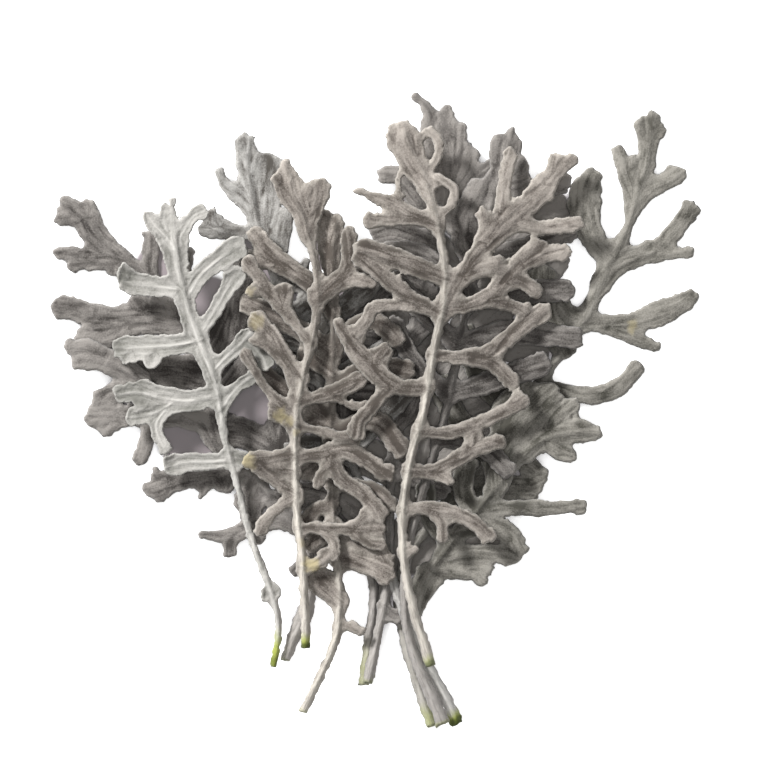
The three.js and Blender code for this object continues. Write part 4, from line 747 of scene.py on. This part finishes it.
def line_field(line, grid):
    """Signed distance to the line's edge, place along it and across it, over its own window."""
    reach = line["half"].max() + LINE_REACH
    low = np.floor((line["at"].min(0) - reach - grid["start"]) / grid["step"]).astype(int)
    high = np.ceil((line["at"].max(0) + reach - grid["start"]) / grid["step"]).astype(int)
    low, high = np.maximum(low, 0), np.minimum(high, grid["shape"])
    window = np.s_[low[0]:high[0], low[1]:high[1]]
    x, y = grid["x"][window], grid["y"][window]
    distance = np.full(x.shape, FAR)
    along, across = np.zeros(x.shape), np.zeros(x.shape)
    half = np.full(x.shape, line["half"][0])
    last = len(line["at"]) - 1
    span = reach - LINE_STEP
    for first in range(0, last, LINE_STRETCH):
        rows = slice(first, min(first + LINE_STRETCH, last) + 1)
        at = line["at"][rows]
        near_x = (x[:, 0] > at[:, 0].min() - span) & (x[:, 0] < at[:, 0].max() + span)
        near_y = (y[0] > at[:, 1].min() - span) & (y[0] < at[:, 1].max() + span)
        if not near_x.any() or not near_y.any():
            continue
        part = np.s_[
            near_x.argmax():len(near_x) - near_x[::-1].argmax(),
            near_y.argmax():len(near_y) - near_y[::-1].argmax(),
        ]
        off_x = x[part][..., None] - at[:, 0]
        off_y = y[part][..., None] - at[:, 1]
        nearest = np.argmin(off_x ** 2 + off_y ** 2, axis=-1)
        off_x = np.take_along_axis(off_x, nearest[..., None], -1)[..., 0]
        off_y = np.take_along_axis(off_y, nearest[..., None], -1)[..., 0]
        heading = line["heading"][rows][nearest]
        ahead = off_x * heading[..., 0] + off_y * heading[..., 1]
        aside = off_y * heading[..., 0] - off_x * heading[..., 1]
        index = nearest + first
        here = np.hypot(off_x, off_y) - line["half"][index]
        nearer = here < distance[part]
        distance[part] = np.where(nearer, here, distance[part])
        along[part] = np.where(nearer, line["along"][index] + ahead, along[part])
        across[part] = np.where(nearer, aside, across[part])
        half[part] = np.where(nearer, line["half"][index], half[part])
    return window, distance, along, across, half


def leaf_fields(leaf, lines, grid, seed):
    """What the leaf is like at every place of its grid: outline, folds, fibres and ribs."""
    shape = grid["shape"]
    outline, nearest, lobe, next_lobe = (np.full(shape, FAR) for _ in range(4))
    weight = np.full(shape, TINY)
    streak, tilt, fold, groove = (np.zeros(shape) for _ in range(4))
    vein, rib, rib_height, rib_depth = (np.zeros(shape) for _ in range(4))
    green, sap, end, apart = (np.zeros(shape) for _ in range(4))
    rib_across = np.full(shape, FAR)
    lay = np.zeros(shape + (3,))
    for number, line in enumerate(lines):
        window, distance, along, across, half = line_field(line, grid)
        own = seed * LEAF_SEED + number
        if number == 0:
            distance = np.where(along < SQUARE_END, np.maximum(distance, -along), distance)
        near = np.clip(WEB - np.abs(outline[window] - distance), 0, None) / WEB
        outline[window] = np.minimum(outline[window], distance) - near * near * WEB / 4
        share = np.exp(-np.clip(distance, -BLEND_DEPTH, BLEND_DEPTH) / BLEND)

        def grown(cell, extra, sway=0.0):
            """Noise in cells that lie along the line, with a length and a width."""
            return noise(along / cell[0], across / cell[1] + sway, own + extra)

        sway = SWAY * grown(SWAY_CELL, SWAY_SEED)
        fibres = sum(
            amount * grown(cell, extra, sway) for amount, cell, extra in STREAKS)
        weight[window] += share
        streak[window] += share * fibres
        fold[window] += share * grown(FOLD_CELL, FOLD_SEED, sway)
        level = np.abs(grown(GROOVE_CELL, GROOVE_SEED, sway))
        groove[window] += share * np.clip(1 - level / GROOVE_SHARE, 0, 1)
        nearer = distance < nearest[window]
        nearest[window] = np.where(nearer, distance, nearest[window])
        here = np.stack([along, across, np.full(along.shape, LAY_STEP * number)], -1)
        lay[window] = np.where(nearer[..., None], here, lay[window])
        tip = smooth(along, line["length"] - TIP_LENGTH, line["length"])
        end[window] = np.maximum(end[window], tip * (distance < TIP_REACH))
        # One random slope for each lobe, from the noise at a place of its own.
        draw_x, draw_y, draw_seed = TWIST_DRAW
        twist = TWIST * noise(np.array([draw_x]), np.array([own * draw_y]), draw_seed)[0]
        tilt[window] += share * twist * across * smooth(along, 0, TWIST_ROOT)
        if number == 0:
            place = np.clip(along / line["length"], 0, 1)
            height = STALK_HALF + (RIB_TIP_HALF - STALK_HALF) * place
            off = np.clip(np.abs(across) / (half + RIB_SKIRT), 0, 1)
            on_rib = distance < RIB_REACH
            round_share, keel_share, power = KEEL
            keel = round_share * np.sqrt(1 - off ** 2) + keel_share * (1 - off ** power)
            rib_height[window] = height * keel * on_rib
            pale, start, stop = PALE_RIBS.get(leaf["name"], PLAIN_RIB)
            wide = (1 - off ** 2) * on_rib
            rib[window] = pale * wide * (1 - RIB_FADE * smooth(place, start, stop))
            rib_depth[window] = np.clip(half - np.abs(across), 0, None)
            rib_across[window] = across
            tint, how_green, tip, how_dark = CUT_ENDS.get(leaf["name"], PLAIN_END)
            wander = along + WANDER * grown(WANDER_CELL, WANDER_SEED)
            stalk = distance < TINT_REACH
            green[window] = how_green * smooth(wander, tint, GREEN_CORE * tint) * stalk
            sap[window] = how_dark * smooth(wander, tip, SAP_CORE * tip) * stalk
        else:
            next_lobe[window] = np.minimum(
                next_lobe[window], np.maximum(lobe[window], distance))
            apart[window] = np.where(
                distance < lobe[window], smooth(along, *SEAM_ROOT), apart[window])
            lobe[window] = np.minimum(lobe[window], distance)
            fade = 1 - VEIN_FADE * np.clip(along / line["length"], 0, 1)
            fade = fade * smooth(line["length"], *SHORT_LOBE) * smooth(along, *VEIN_ROOT)
            middle_vein = np.exp(-(across / VEIN_WIDTH) ** 2)
            off = np.abs(across) - SIDE_VEIN_PLACE * half
            side_veins = SIDE_VEIN * np.exp(-(off / SIDE_VEIN_WIDTH) ** 2)
            shown = np.maximum(middle_vein, side_veins) * smooth(distance, *VEIN_EDGE) * fade
            vein[window] = np.maximum(vein[window], shown)
    seam = np.exp(-((next_lobe - lobe) / SEAM_WIDTH) ** 2) * smooth(-next_lobe, *SEAM_INSIDE)
    return {
        "outline": outline,
        "streak": streak / weight,
        "tilt": tilt / weight,
        "fold": fold / weight,
        "vein": vein,
        "groove": groove / weight + SEAM * apart * seam,
        "rib": rib,
        "rib_height": rib_height,
        "rib_across": rib_across,
        "end": end,
        "alone": smooth(-outline - rib_depth, *RIB_BARE),
        "green": green,
        "sap": sap,
        "lay": lay,
    }


def bend_of_blade(leaf, inside, grid):
    """Height of the blade's middle over the table, from the leaf's own solid, smoothed."""
    solid = BVHTree.FromObject(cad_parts[leaf["name"]], bpy.context.evaluated_depsgraph_get())
    down, up = Vector((0, 0, -1)), Vector((0, 0, 1))
    middle, found = np.zeros(inside.shape), np.zeros(inside.shape)
    for i, j in np.argwhere(inside):
        x = (grid["x"][i, j] - BOX_MIDDLE[0]) * MM
        y = (grid["y"][i, j] - BOX_MIDDLE[1]) * MM
        top = solid.ray_cast(Vector((x, y, RAY_START)), down)[0]
        if top:
            under = solid.ray_cast(Vector((x, y, -RAY_START)), up)[0]
            middle[i, j] = (top.z + under.z) / 2 / MM
            found[i, j] = 1
    # Past the solid's own outline the wider blur carries the bend on.
    wide, close = (
        (blur(middle * found, steps), blur(found, steps)) for steps in (WIDE_BLUR, MID_BLUR))
    soft = [total / np.maximum(share, TINY) for total, share in (wide, close)]
    return np.where(close[1] > ENOUGH_SOLID, soft[1], soft[0])


# ---- a leaf's mesh ----

def project(places, step, outline, grid):
    """Moves places of the grid onto the leaf's outline."""
    slope_x, slope_y = np.gradient(outline, step)
    longest = LONGEST_PULL * step
    for _ in range(PULLS):
        at = (places - grid["start"]) / step
        i = np.clip(at[:, 0].astype(int), 0, grid["shape"][0] - 2)
        j = np.clip(at[:, 1].astype(int), 0, grid["shape"][1] - 2)
        fx, fy = at[:, 0] - i, at[:, 1] - j

        def read(field):
            low = field[i, j] * (1 - fx) + field[i + 1, j] * fx
            high = field[i, j + 1] * (1 - fx) + field[i + 1, j + 1] * fx
            return low * (1 - fy) + high * fy

        gx, gy, away = read(slope_x), read(slope_y), read(outline)
        steep = np.maximum(gx * gx + gy * gy, LEAST_SLOPE)
        pull = np.clip(away / steep, -longest, longest)
        places = places - np.stack([gx * pull, gy * pull], 1)
    return places


def sheet_faces(outline):
    """Triangles of the grid that lie inside the outline, as corner numbers of the whole grid."""
    columns, rows = outline.shape
    number = np.arange(columns * rows).reshape(columns, rows)
    a, b = number[:-1, :-1], number[1:, :-1]
    c, d = number[1:, 1:], number[:-1, 1:]
    even = (np.add.outer(np.arange(columns - 1), np.arange(rows - 1)) % 2 == 0)
    first = np.where(even[..., None], np.stack([a, b, c], -1), np.stack([a, b, d], -1))
    second = np.where(even[..., None], np.stack([a, c, d], -1), np.stack([b, c, d], -1))
    faces = np.concatenate([first.reshape(-1, 3), second.reshape(-1, 3)])
    return faces[outline.ravel()[faces].mean(1) < 0]


def largest_piece(faces):
    """Drops crumbs: keeps the triangles that hang together with most of the others."""
    label = np.arange(faces.max() + 1)
    while True:
        low = label[faces].min(1)
        before = label.copy()
        for k in range(3):
            np.minimum.at(label, faces[:, k], low)
        label = label[label]
        if (label == before).all():
            break
    names, counts = np.unique(label[faces[:, 0]], return_counts=True)
    return faces[label[faces[:, 0]] == names[counts.argmax()]]


def border_of(faces, size):
    """Which corners lie on an edge that only one triangle has."""
    edges = np.concatenate([faces[:, [0, 1]], faces[:, [1, 2]], faces[:, [2, 0]]])
    keys, counts = np.unique(np.sort(edges, 1) @ np.array([size, 1]), return_counts=True)
    lone = keys[counts == 1]
    border = np.zeros(size, bool)
    border[lone // size] = True
    border[lone % size] = True
    return border


def spots_on(leaf, places, x, y, wander=0.0):
    """The leaf's round spots: each has its strength in its core and fades out to its radius."""
    return [
        strength * smooth(
            np.hypot(x - spot_x, y - spot_y) + wander, radius, SPOT_CORE * radius)
        for spot_x, spot_y, radius, strength in places.get(leaf["name"], [])
    ]


def leaf_grid(leaf, lines):
    """A grid of square cells that reaches past the leaf's lines on every side."""
    step = FINE_GRID if leaf["name"].startswith("leaf_front") else COARSE_GRID
    every = np.vstack([line["at"] for line in lines])
    start = every.min(0) - GRID_MARGIN
    shape = np.ceil((every.max(0) + GRID_MARGIN - start) / step).astype(int)
    x, y = np.meshgrid(
        start[0] + step * np.arange(shape[0]), start[1] + step * np.arange(shape[1]),
        indexing="ij",
    )
    return {"start": start, "step": step, "shape": tuple(shape), "x": x, "y": y}


def leaf_form(leaf, fields, grid, seed):
    """The leaf's outline and bend, how thick it is above and below that, and its relief."""
    x, y = grid["x"], grid["y"]
    outline = fields["outline"]
    for size, depth_of_bump in EDGE_BUMPS:
        outline = outline + depth_of_bump * noise(x / size, y / size, seed)
    bumps = noise(x / TIP_BUMP_SIZE, y / TIP_BUMP_SIZE, seed + TIP_SEED)
    outline = outline + TIP_BUMP * fields["end"] * (bumps - TIP_BUMP_LEVEL)
    middle = bend_of_blade(leaf, outline < BEND_MARGIN, grid)

    # An underside that lies up has its veins and its hollow side up as well.
    under_up = leaf["colour"] == "SILVER_WHITE"
    depth = np.maximum(-outline, 0)
    edge = np.clip(depth / EDGE_ROUND, 0, 1)
    round_edge = np.sqrt(1 - (1 - edge) ** 2)
    crease = fields["groove"] * edge * smooth(depth, *GROOVE_START)
    arch = (-ARCH if under_up else ARCH) * (ARCH_LEVEL - np.exp(-depth / ARCH_REACH))
    middle = middle + arch + fields["tilt"] + FOLD * fields["fold"] * edge

    blade = BLADE_HALF * round_edge
    relief = FIBRE_RELIEF * fields["streak"] * edge - GROOVE * crease
    lip_middle, lip_width, lip_start = LIP_SHAPE
    lip = np.exp(-((depth - lip_middle) / lip_width) ** 2) * smooth(depth, 0, lip_start)
    grain = noise(x / GRAIN_SIZE, y / GRAIN_SIZE, seed + GRAIN_SEED)
    relief = relief + MARGIN_LIP * lip + GRAIN_RELIEF * grain * edge
    vein = fields["vein"] * edge
    above = blade + relief + (VEIN_RIDGE if under_up else -VEIN_GROOVE) * vein
    below = blade + (0 if under_up else VEIN_RIDGE) * vein
    rib, alone = fields["rib_height"], fields["alone"]
    crest_width, crest_power = CREST
    crest = np.exp(-(np.abs(fields["rib_across"]) / crest_width) ** crest_power)
    ridge = (UNDER_RIDGE if under_up else RIB_RIDGE) * crest
    stalk = np.maximum(blade, (UNDER_RIB_STAND if under_up else UPPER_RIB_STAND) * rib)
    on_rib = alone * stalk + (1 - alone) * (blade + ridge) + RIB_RELIEF * relief
    above = np.where(rib > 0, np.maximum(above, on_rib), above)
    below = np.maximum(below, rib)
    return {
        "outline": outline,
        "middle": np.maximum(middle, below + TABLE_GAP),
        "above": above,
        "below": below,
        "depth": depth,
        "crease": crease,
        "crest": crest,
        "shown_vein": vein if under_up else np.zeros(vein.shape),
    }


def felt_marks(leaf, fields, form, grid):
    """What the felt's material reads at every place of the leaf."""
    x, y = grid["x"], grid["y"]
    none = np.zeros(x.shape)
    wander = BRUISE_WANDER * noise(x / BRUISE_CELL, y / BRUISE_CELL, BRUISE_SEED)
    # Listed places of worn felt, of painted shade and of painted light.
    worn = sum(spots_on(leaf, WORN_AND_PAINTED_SHADE_PLACES, x, y), none)
    dense = TIPS_GAIN * smooth(np.hypot(x, y), *MIDDLE_TO_TIPS) + MIDDLE_LEVEL
    on_blade = 1 - fields["alone"]
    pale_rib = fields["rib"] * (fields["alone"] + on_blade * RIB_ON_BLADE * form["crest"])
    return {
        # The felt's own streaks, with a painted highlight on folds and painted shade in creases.
        "fibre_and_painted_shade": (
            fields["streak"] + FOLD_PAINTED_HIGHLIGHT * fields["fold"] - CREASE_PAINTED_SHADE * form["crease"]),
        "rim": np.exp(-form["depth"] / PALE_RIM),
        "rib": np.maximum(pale_rib, form["shown_vein"]),
        "green": fields["green"],
        "sap": fields["sap"],
        "stain": np.maximum.reduce([none] + spots_on(leaf, BRUISES, x, y, wander)),
        "thick": dense + DENSITY.get(leaf["name"], 0) - worn,
    }


def closed_sheet(form, grid):
    """An upper and a lower sheet that share the corners of the border.

    Gives their corners, their triangles and the place of the grid that each corner stands on.
    """
    outline = form["outline"]
    faces = largest_piece(sheet_faces(outline))
    border = border_of(faces, outline.size)
    used = np.zeros(outline.size, bool)
    used[faces] = True
    inner = used & ~border
    spots = np.stack([grid["x"].ravel(), grid["y"].ravel()], 1)
    spots[border] = project(spots[border], grid["step"], outline, grid)
    middle = form["middle"].ravel()
    above = np.where(border, 0, form["above"].ravel())
    top = np.column_stack([spots, middle + above])[used]
    under = np.column_stack([spots, middle - form["below"].ravel()])[inner]
    corners = np.vstack([top, under])
    corners[:, :2] -= BOX_MIDDLE
    top_number = np.cumsum(used) - 1
    under_number = np.where(border, top_number, used.sum() + np.cumsum(inner) - 1)
    triangles = np.vstack([top_number[faces], under_number[faces][:, ::-1]])
    return corners, triangles, np.concatenate([np.flatnonzero(used), np.flatnonzero(inner)])


def leaf_object(leaf, seed):
    """A leaf as one closed sheet, with the marks that its felt's material reads."""
    lines = [make_line(leaf["midrib"], [])]
    for line in leaf["lobes"]:
        lines.append(make_line(line, lines))
    grid = leaf_grid(leaf, lines)
    fields = leaf_fields(leaf, lines, grid, seed)
    form = leaf_form(leaf, fields, grid, seed)
    corners, triangles, stand = closed_sheet(form, grid)

    mesh = bpy.data.meshes.new(leaf["name"] + "_felted")
    mesh.from_pydata((corners * MM).tolist(), [], triangles.tolist())
    mesh.shade_smooth()
    for name, values in felt_marks(leaf, fields, form, grid).items():
        layer = mesh.attributes.new(name, "FLOAT", "POINT")
        layer.data.foreach_set("value", values.ravel()[stand])
    layer = mesh.attributes.new("lay", "FLOAT_VECTOR", "POINT")
    layer.data.foreach_set("vector", (fields["lay"].reshape(-1, 3) * MM)[stand].ravel())
    piece = bpy.data.objects.new(leaf["name"] + "_felted", mesh)
    bpy.context.collection.objects.link(piece)
    return piece


# ---- materials ----

def linear(colour):
    """An sRGB hex value as linear red, green, blue and alpha."""
    parts = [int(colour[i:i + 2], 16) / 255 for i in (1, 3, 5)]
    return [c / 12.92 if c <= 0.04045 else ((c + 0.055) / 1.055) ** 2.4 for c in parts] + [1]


def add(tree, kind, settings=None, inputs=None, links=None):
    """Adds a node, sets its properties and its sockets and links its inputs."""
    node = tree.nodes.new(kind)
    for name, value in (settings or {}).items():
        setattr(node, name, value)
    for name, value in (inputs or {}).items():
        node.inputs[name].default_value = value
    for name, socket in (links or {}).items():
        tree.links.new(socket, node.inputs[name])
    return node


def felt_mat(tree, place, lay, streaks_and_painted_shade):
    """The sizes of hair that the mat is made of, by name, and the mat that they make together."""
    grown = {"streaks_and_painted_shade": streaks_and_painted_shade}
    for label, size, detail in FELT_NOISES:
        # Tufts and patches lie anywhere, and hairs and locks are drawn out along the lobe.
        vector = place
        if label in ("hairs", "locks"):
            vector = add(tree, "ShaderNodeVectorMath", {"operation": "MULTIPLY"},
                         {1: (HAIR_STRETCH, 1, 1)}, {0: lay}).outputs[0]
        grown[label] = add(
            tree, "ShaderNodeTexNoise", {},
            {"Scale": 1 / size, "Detail": detail, "Roughness": NOISE_ROUGHNESS},
            {"Vector": vector}).outputs["Fac"]
    mat = grown["hairs"]
    for label, share in FELT_LAYERS:
        mat = add(tree, "ShaderNodeMix", {"data_type": "FLOAT"}, {"Factor": share},
                  {"A": mat, "B": grown[label]}).outputs[0]
    return grown, mat


def felt(name, hair, skin, ridge_hair, contrast):
    """Felted leaf, a mat of fine white hairs (tomentum) that grew over a grey-green skin.

    The hairs lie matted along the lobes, so the leaf looks soft, dry and matt, with fine streaks.
    Where they are thin the darker skin shows between them, and edges and ribs are paler.
    """
    material = bpy.data.materials.new(name)
    material.use_nodes = True
    tree = material.node_tree
    tree.nodes.clear()
    place = add(tree, "ShaderNodeTexCoord").outputs["Object"]
    lay = add(tree, "ShaderNodeAttribute", {"attribute_name": "lay"}).outputs["Vector"]
    mark = {
        label: add(tree, "ShaderNodeAttribute", {"attribute_name": label}).outputs["Fac"]
        for label in ("fibre_and_painted_shade", "rim", "rib", "green", "sap", "stain", "thick")
    }

    # These streaks hold painted shade in creases and a painted highlight on folds.
    streaks_and_painted_shade = add(tree, "ShaderNodeMath", {"operation": "MULTIPLY_ADD"},
                  {1: 0.5, 2: 0.5}, {0: mark["fibre_and_painted_shade"]}).outputs[0]
    grown, mat = felt_mat(tree, place, lay, streaks_and_painted_shade)

    # The skin shows where the mat is thin: between locks and in worn patches. The streaks carry
    # painted shade in creases and a painted highlight on folds, and the density mark darkens or
    # pales listed places, partly worn felt and partly painted shade and painted light.
    cover = add(tree, "ShaderNodeMapRange", {},
                {"From Min": 0.5 - contrast, "From Max": 0.5 + contrast}, {"Value": mat})
    worn = add(tree, "ShaderNodeMapRange", {}, dict(zip(RANGE, PATCH_WEAR)),
               {"Value": grown["patch"]})
    shift = add(tree, "ShaderNodeMath", {"operation": "ADD"}, {},
                {0: worn.outputs[0], 1: mark["thick"]})
    dense = add(tree, "ShaderNodeMath", {"operation": "ADD", "use_clamp": True}, {},
                {0: cover.outputs[0], 1: shift.outputs[0]})
    colour = add(tree, "ShaderNodeMix", {"data_type": "RGBA"},
                 {6: linear(skin), 7: linear(hair)}, {0: dense.outputs[0]}).outputs[2]
    bare = add(tree, "ShaderNodeMapRange", {}, dict(zip(RANGE, RIB_WEAR)),
               {"Value": grown["locks"]})
    pale_rib = add(tree, "ShaderNodeMath", {"operation": "MULTIPLY"}, {},
                   {0: mark["rib"], 1: bare.outputs[0]}).outputs[0]

    # Each tint lies over the ones before it: pale edge and rib, bruise, green stalk and sap.
    for where, tint, strength in (
        (mark["rim"], ridge_hair, RIM_TINT),
        (pale_rib, ridge_hair, RIB_TINT),
        (mark["stain"], BRUISE_TAN, 1.0),
        (mark["green"], STALK_GREEN, 1.0),
        (mark["sap"], DRIED_SAP, 1.0),
    ):
        share = add(tree, "ShaderNodeMath", {"operation": "MULTIPLY", "use_clamp": True},
                    {1: strength}, {0: where}).outputs[0]
        colour = add(tree, "ShaderNodeMix", {"data_type": "RGBA"}, {7: linear(tint)},
                     {0: share, 6: colour}).outputs[2]

    # Painted shade: the felt's colour is darkened in narrow places between lobes and leaves, where
    # shade falls.
    sky_for_painted_shade = add(tree, "ShaderNodeAmbientOcclusion", {"samples": FELT_PAINTED_SHADE_RAYS},
                   {"Distance": FELT_PAINTED_SHADE_REACH})
    painted_shade_level = add(tree, "ShaderNodeMapRange", {}, dict(zip(RANGE, FELT_PAINTED_SHADE_RANGE)),
               {"Value": sky_for_painted_shade.outputs["AO"]})
    colour_with_painted_shade = add(tree, "ShaderNodeVectorMath", {"operation": "SCALE"}, {},
                 {0: colour, "Scale": painted_shade_level.outputs[0]}).outputs[0]
    height = add(tree, "ShaderNodeMix", {"data_type": "FLOAT"}, {"Factor": TUFT_HEIGHT},
                 {"A": mat, "B": grown["tuft"]}).outputs[0]
    bump = add(tree, "ShaderNodeBump", {}, {"Strength": 1.0, "Distance": FELT_DEPTH},
               {"Height": height})
    shader = add(tree, "ShaderNodeBsdfPrincipled", {},
                 {"Roughness": 0.95, "Specular IOR Level": 0.15, "Sheen Weight": 0.15,
                  "Sheen Roughness": 0.6},
                 {"Base Color": colour_with_painted_shade, "Normal": bump.outputs[0]})
    add(tree, "ShaderNodeOutputMaterial", {}, {}, {"Surface": shader.outputs[0]})
    return material


# The slot of each felt, and its hair, skin, paler hair of the ridges, and contrast.
FELTS = {
    # A dense mat on the underside, nearly white.
    "SILVER_WHITE": (
        "white_felt", felt("underside_felt", "#b0ada8", "#6f6e68", "#d8d5cf", 0.16)),
    # A thinner mat on the upper side, a warm silver with darker skin between its locks.
    "WARM_SILVER": (
        "warm_felt", felt("upper_felt", "#aaa29a", "#4f4842", "#dad4c9", 0.15)),
    # A greyer, darker mat for the leaves further down: partly the dustier felt of older leaves,
    # partly painted shade for the shade that the leaves above cast on them.
    "SHADED_SILVER": (
        "shaded_felt", felt("old_leaf_felt_and_painted_shade", "#938e89", "#413d3a", "#b5b0ab", 0.15)),
    # A thin mat that lets more of the green skin through.
    "GREEN_SILVER": (
        "green_felt", felt("thin_felt", "#9e9a92", "#4a4841", "#bcb8b0", 0.15)),
}
# One leaf's felt was bleached by sun and rain, paler and cooler than the others.
OWN_FELTS = {
    "leaf_back_left": felt("weathered_felt", "#b3b1ad", "#4b4742", "#d0cdc8", 0.16),
}

# ---- the bunch ----

for seed, leaf in enumerate(LEAVES):
    piece = leaf_object(leaf, seed + 1)
    slot, material = FELTS[leaf["colour"]]
    piece.data.materials.append(OWN_FELTS.get(leaf["name"], material))
    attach(piece, "root")
    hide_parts(leaf["name"])

# ---- table, light and camera ----

def acrylic_with_painted_shade(name, colour, painted_shade_colour, glow):
    """Opal acrylic, cast with a satin face, that glows as if lit from below.

    It glows brighter to the camera than the light it gives, which keeps the shadows on it soft
    and pale. Where the leaves crowd over it and round listed places its glow is cut and a
    grey-mauve painted shade is put in its colour.
    """
    material = bpy.data.materials.new(name)
    material.use_nodes = True
    tree = material.node_tree
    tree.nodes.clear()
    place = add(tree, "ShaderNodeTexCoord").outputs["Object"]
    grain = add(tree, "ShaderNodeTexNoise", {}, {"Scale": 1 / SATIN_GRAIN}, {"Vector": place})
    bump = add(tree, "ShaderNodeBump", {}, {"Strength": 0.05, "Distance": SATIN_DEPTH},
               {"Height": grain.outputs["Fac"]})
    seen = add(tree, "ShaderNodeLightPath").outputs["Is Camera Ray"]
    # Painted shade where the leaves crowd over the table.
    sky_for_painted_shade = add(tree, "ShaderNodeAmbientOcclusion", {"samples": TABLE_PAINTED_SHADE_RAYS},
                   {"Distance": TABLE_PAINTED_SHADE_REACH})
    least, full = TABLE_PAINTED_SHADE_OPEN
    free_of_painted_shade = add(tree, "ShaderNodeMapRange", {}, {"From Min": least, "From Max": full},
               {"Value": sky_for_painted_shade.outputs["AO"]}).outputs[0]
    # Painted shade round each listed place.
    for shade_x, shade_y, radius in PAINTED_TABLE_SHADES:
        middle = ((shade_x - BOX_MIDDLE[0]) * MM, (shade_y - BOX_MIDDLE[1]) * MM, 0)
        away = add(tree, "ShaderNodeVectorMath", {"operation": "DISTANCE"}, {1: middle},
                   {0: place}).outputs["Value"]
        clear = add(tree, "ShaderNodeMapRange", {"interpolation_type": "SMOOTHSTEP"},
                    {"From Min": PAINTED_TABLE_SHADE_EDGE * radius * MM, "From Max": radius * MM},
                    {"Value": away}).outputs[0]
        free_of_painted_shade = add(tree, "ShaderNodeMath", {"operation": "MULTIPLY"}, {},
                   {0: free_of_painted_shade, 1: clear}).outputs[0]
    lit = add(tree, "ShaderNodeMath", {"operation": "MULTIPLY_ADD"},
              {1: glow - PAINTED_SHADE_GLOW, 2: PAINTED_SHADE_GLOW}, {0: free_of_painted_shade})
    shine = add(tree, "ShaderNodeMix", {"data_type": "FLOAT"}, {"A": TABLE_LIGHT},
                {"Factor": seen, "B": lit.outputs[0]})
    # The table's white turns to the grey-mauve of the painted shade there.
    ground_and_painted_shade = add(tree, "ShaderNodeMix", {"data_type": "RGBA"},
                 {6: linear(painted_shade_colour), 7: linear(colour)}, {0: free_of_painted_shade})
    shader = add(tree, "ShaderNodeBsdfPrincipled", {},
                 {"Roughness": 0.8, "Specular IOR Level": 0.2, "Emission Color": (1, 1, 1, 1)},
                 {"Base Color": ground_and_painted_shade.outputs[2], "Normal": bump.outputs[0],
                  "Emission Strength": shine.outputs[0]})
    add(tree, "ShaderNodeOutputMaterial", {}, {}, {"Surface": shader.outputs[0]})
    return material


def make_table(side):
    """A square tabletop round the bunch, in metres."""
    mesh = bpy.data.meshes.new("table")
    h = side / 2
    mesh.from_pydata([(-h, -h, 0), (h, -h, 0), (h, h, 0), (-h, h, 0)], [], [(0, 1, 2, 3)])
    table = bpy.data.objects.new("table", mesh)
    bpy.context.collection.objects.link(table)
    # Its white, the grey-mauve of its painted shade, and its glow to the camera.
    table.data.materials.append(acrylic_with_painted_shade("white_acrylic_painted_shade", "#f4f4f4", "#91878a", 0.72))


def make_lamp(name, at, size, watts):
    """A round soft lamp that is aimed at the bunch, in metres and watts."""
    lamp = bpy.data.lights.new(name, "AREA")
    lamp.shape = "DISK"
    lamp.size = size
    lamp.energy = watts
    thing = bpy.data.objects.new(name, lamp)
    thing.location = at
    thing.rotation_euler = (Vector() - Vector(at)).to_track_quat("-Z", "Y").to_euler()
    bpy.context.collection.objects.link(thing)


def make_world(colour, seen_strength, light_strength):
    """A pale room that looks brighter than the light it gives."""
    world = bpy.data.worlds.new("studio")
    bpy.context.scene.world = world
    world.use_nodes = True
    tree = world.node_tree
    seen = add(tree, "ShaderNodeLightPath").outputs["Is Camera Ray"]
    strength = add(tree, "ShaderNodeMix", {"data_type": "FLOAT"},
                   {"A": light_strength, "B": seen_strength}, {"Factor": seen})
    room = tree.nodes["Background"]
    room.inputs["Color"].default_value = linear(colour)
    tree.links.new(strength.outputs[0], room.inputs["Strength"])


def make_camera():
    """A camera straight over the middle of the bunch."""
    camera = bpy.data.cameras.new("camera")
    camera.sensor_width = SENSOR_WIDTH
    camera.lens = SENSOR_WIDTH * (CAMERA_HEIGHT - VIEW_LEVEL) / VIEW_WIDTH
    camera.clip_start, camera.clip_end = CAMERA_CLIP
    thing = bpy.data.objects.new("camera", camera)
    thing.location = (-BOX_MIDDLE[0] * MM, -BOX_MIDDLE[1] * MM, CAMERA_HEIGHT)
    bpy.context.collection.objects.link(thing)
    bpy.context.scene.camera = thing


make_table(6.0)
make_lamp("window_light", (-0.8, 0.75, 0.85), 0.28, 28)
make_lamp("overhead_softbox", (0, 0, 2.2), 0.5, 11)
make_world("#ffffff", 0.85, 0.2)
make_camera()
bpy.context.scene.view_settings.view_transform = "Standard"
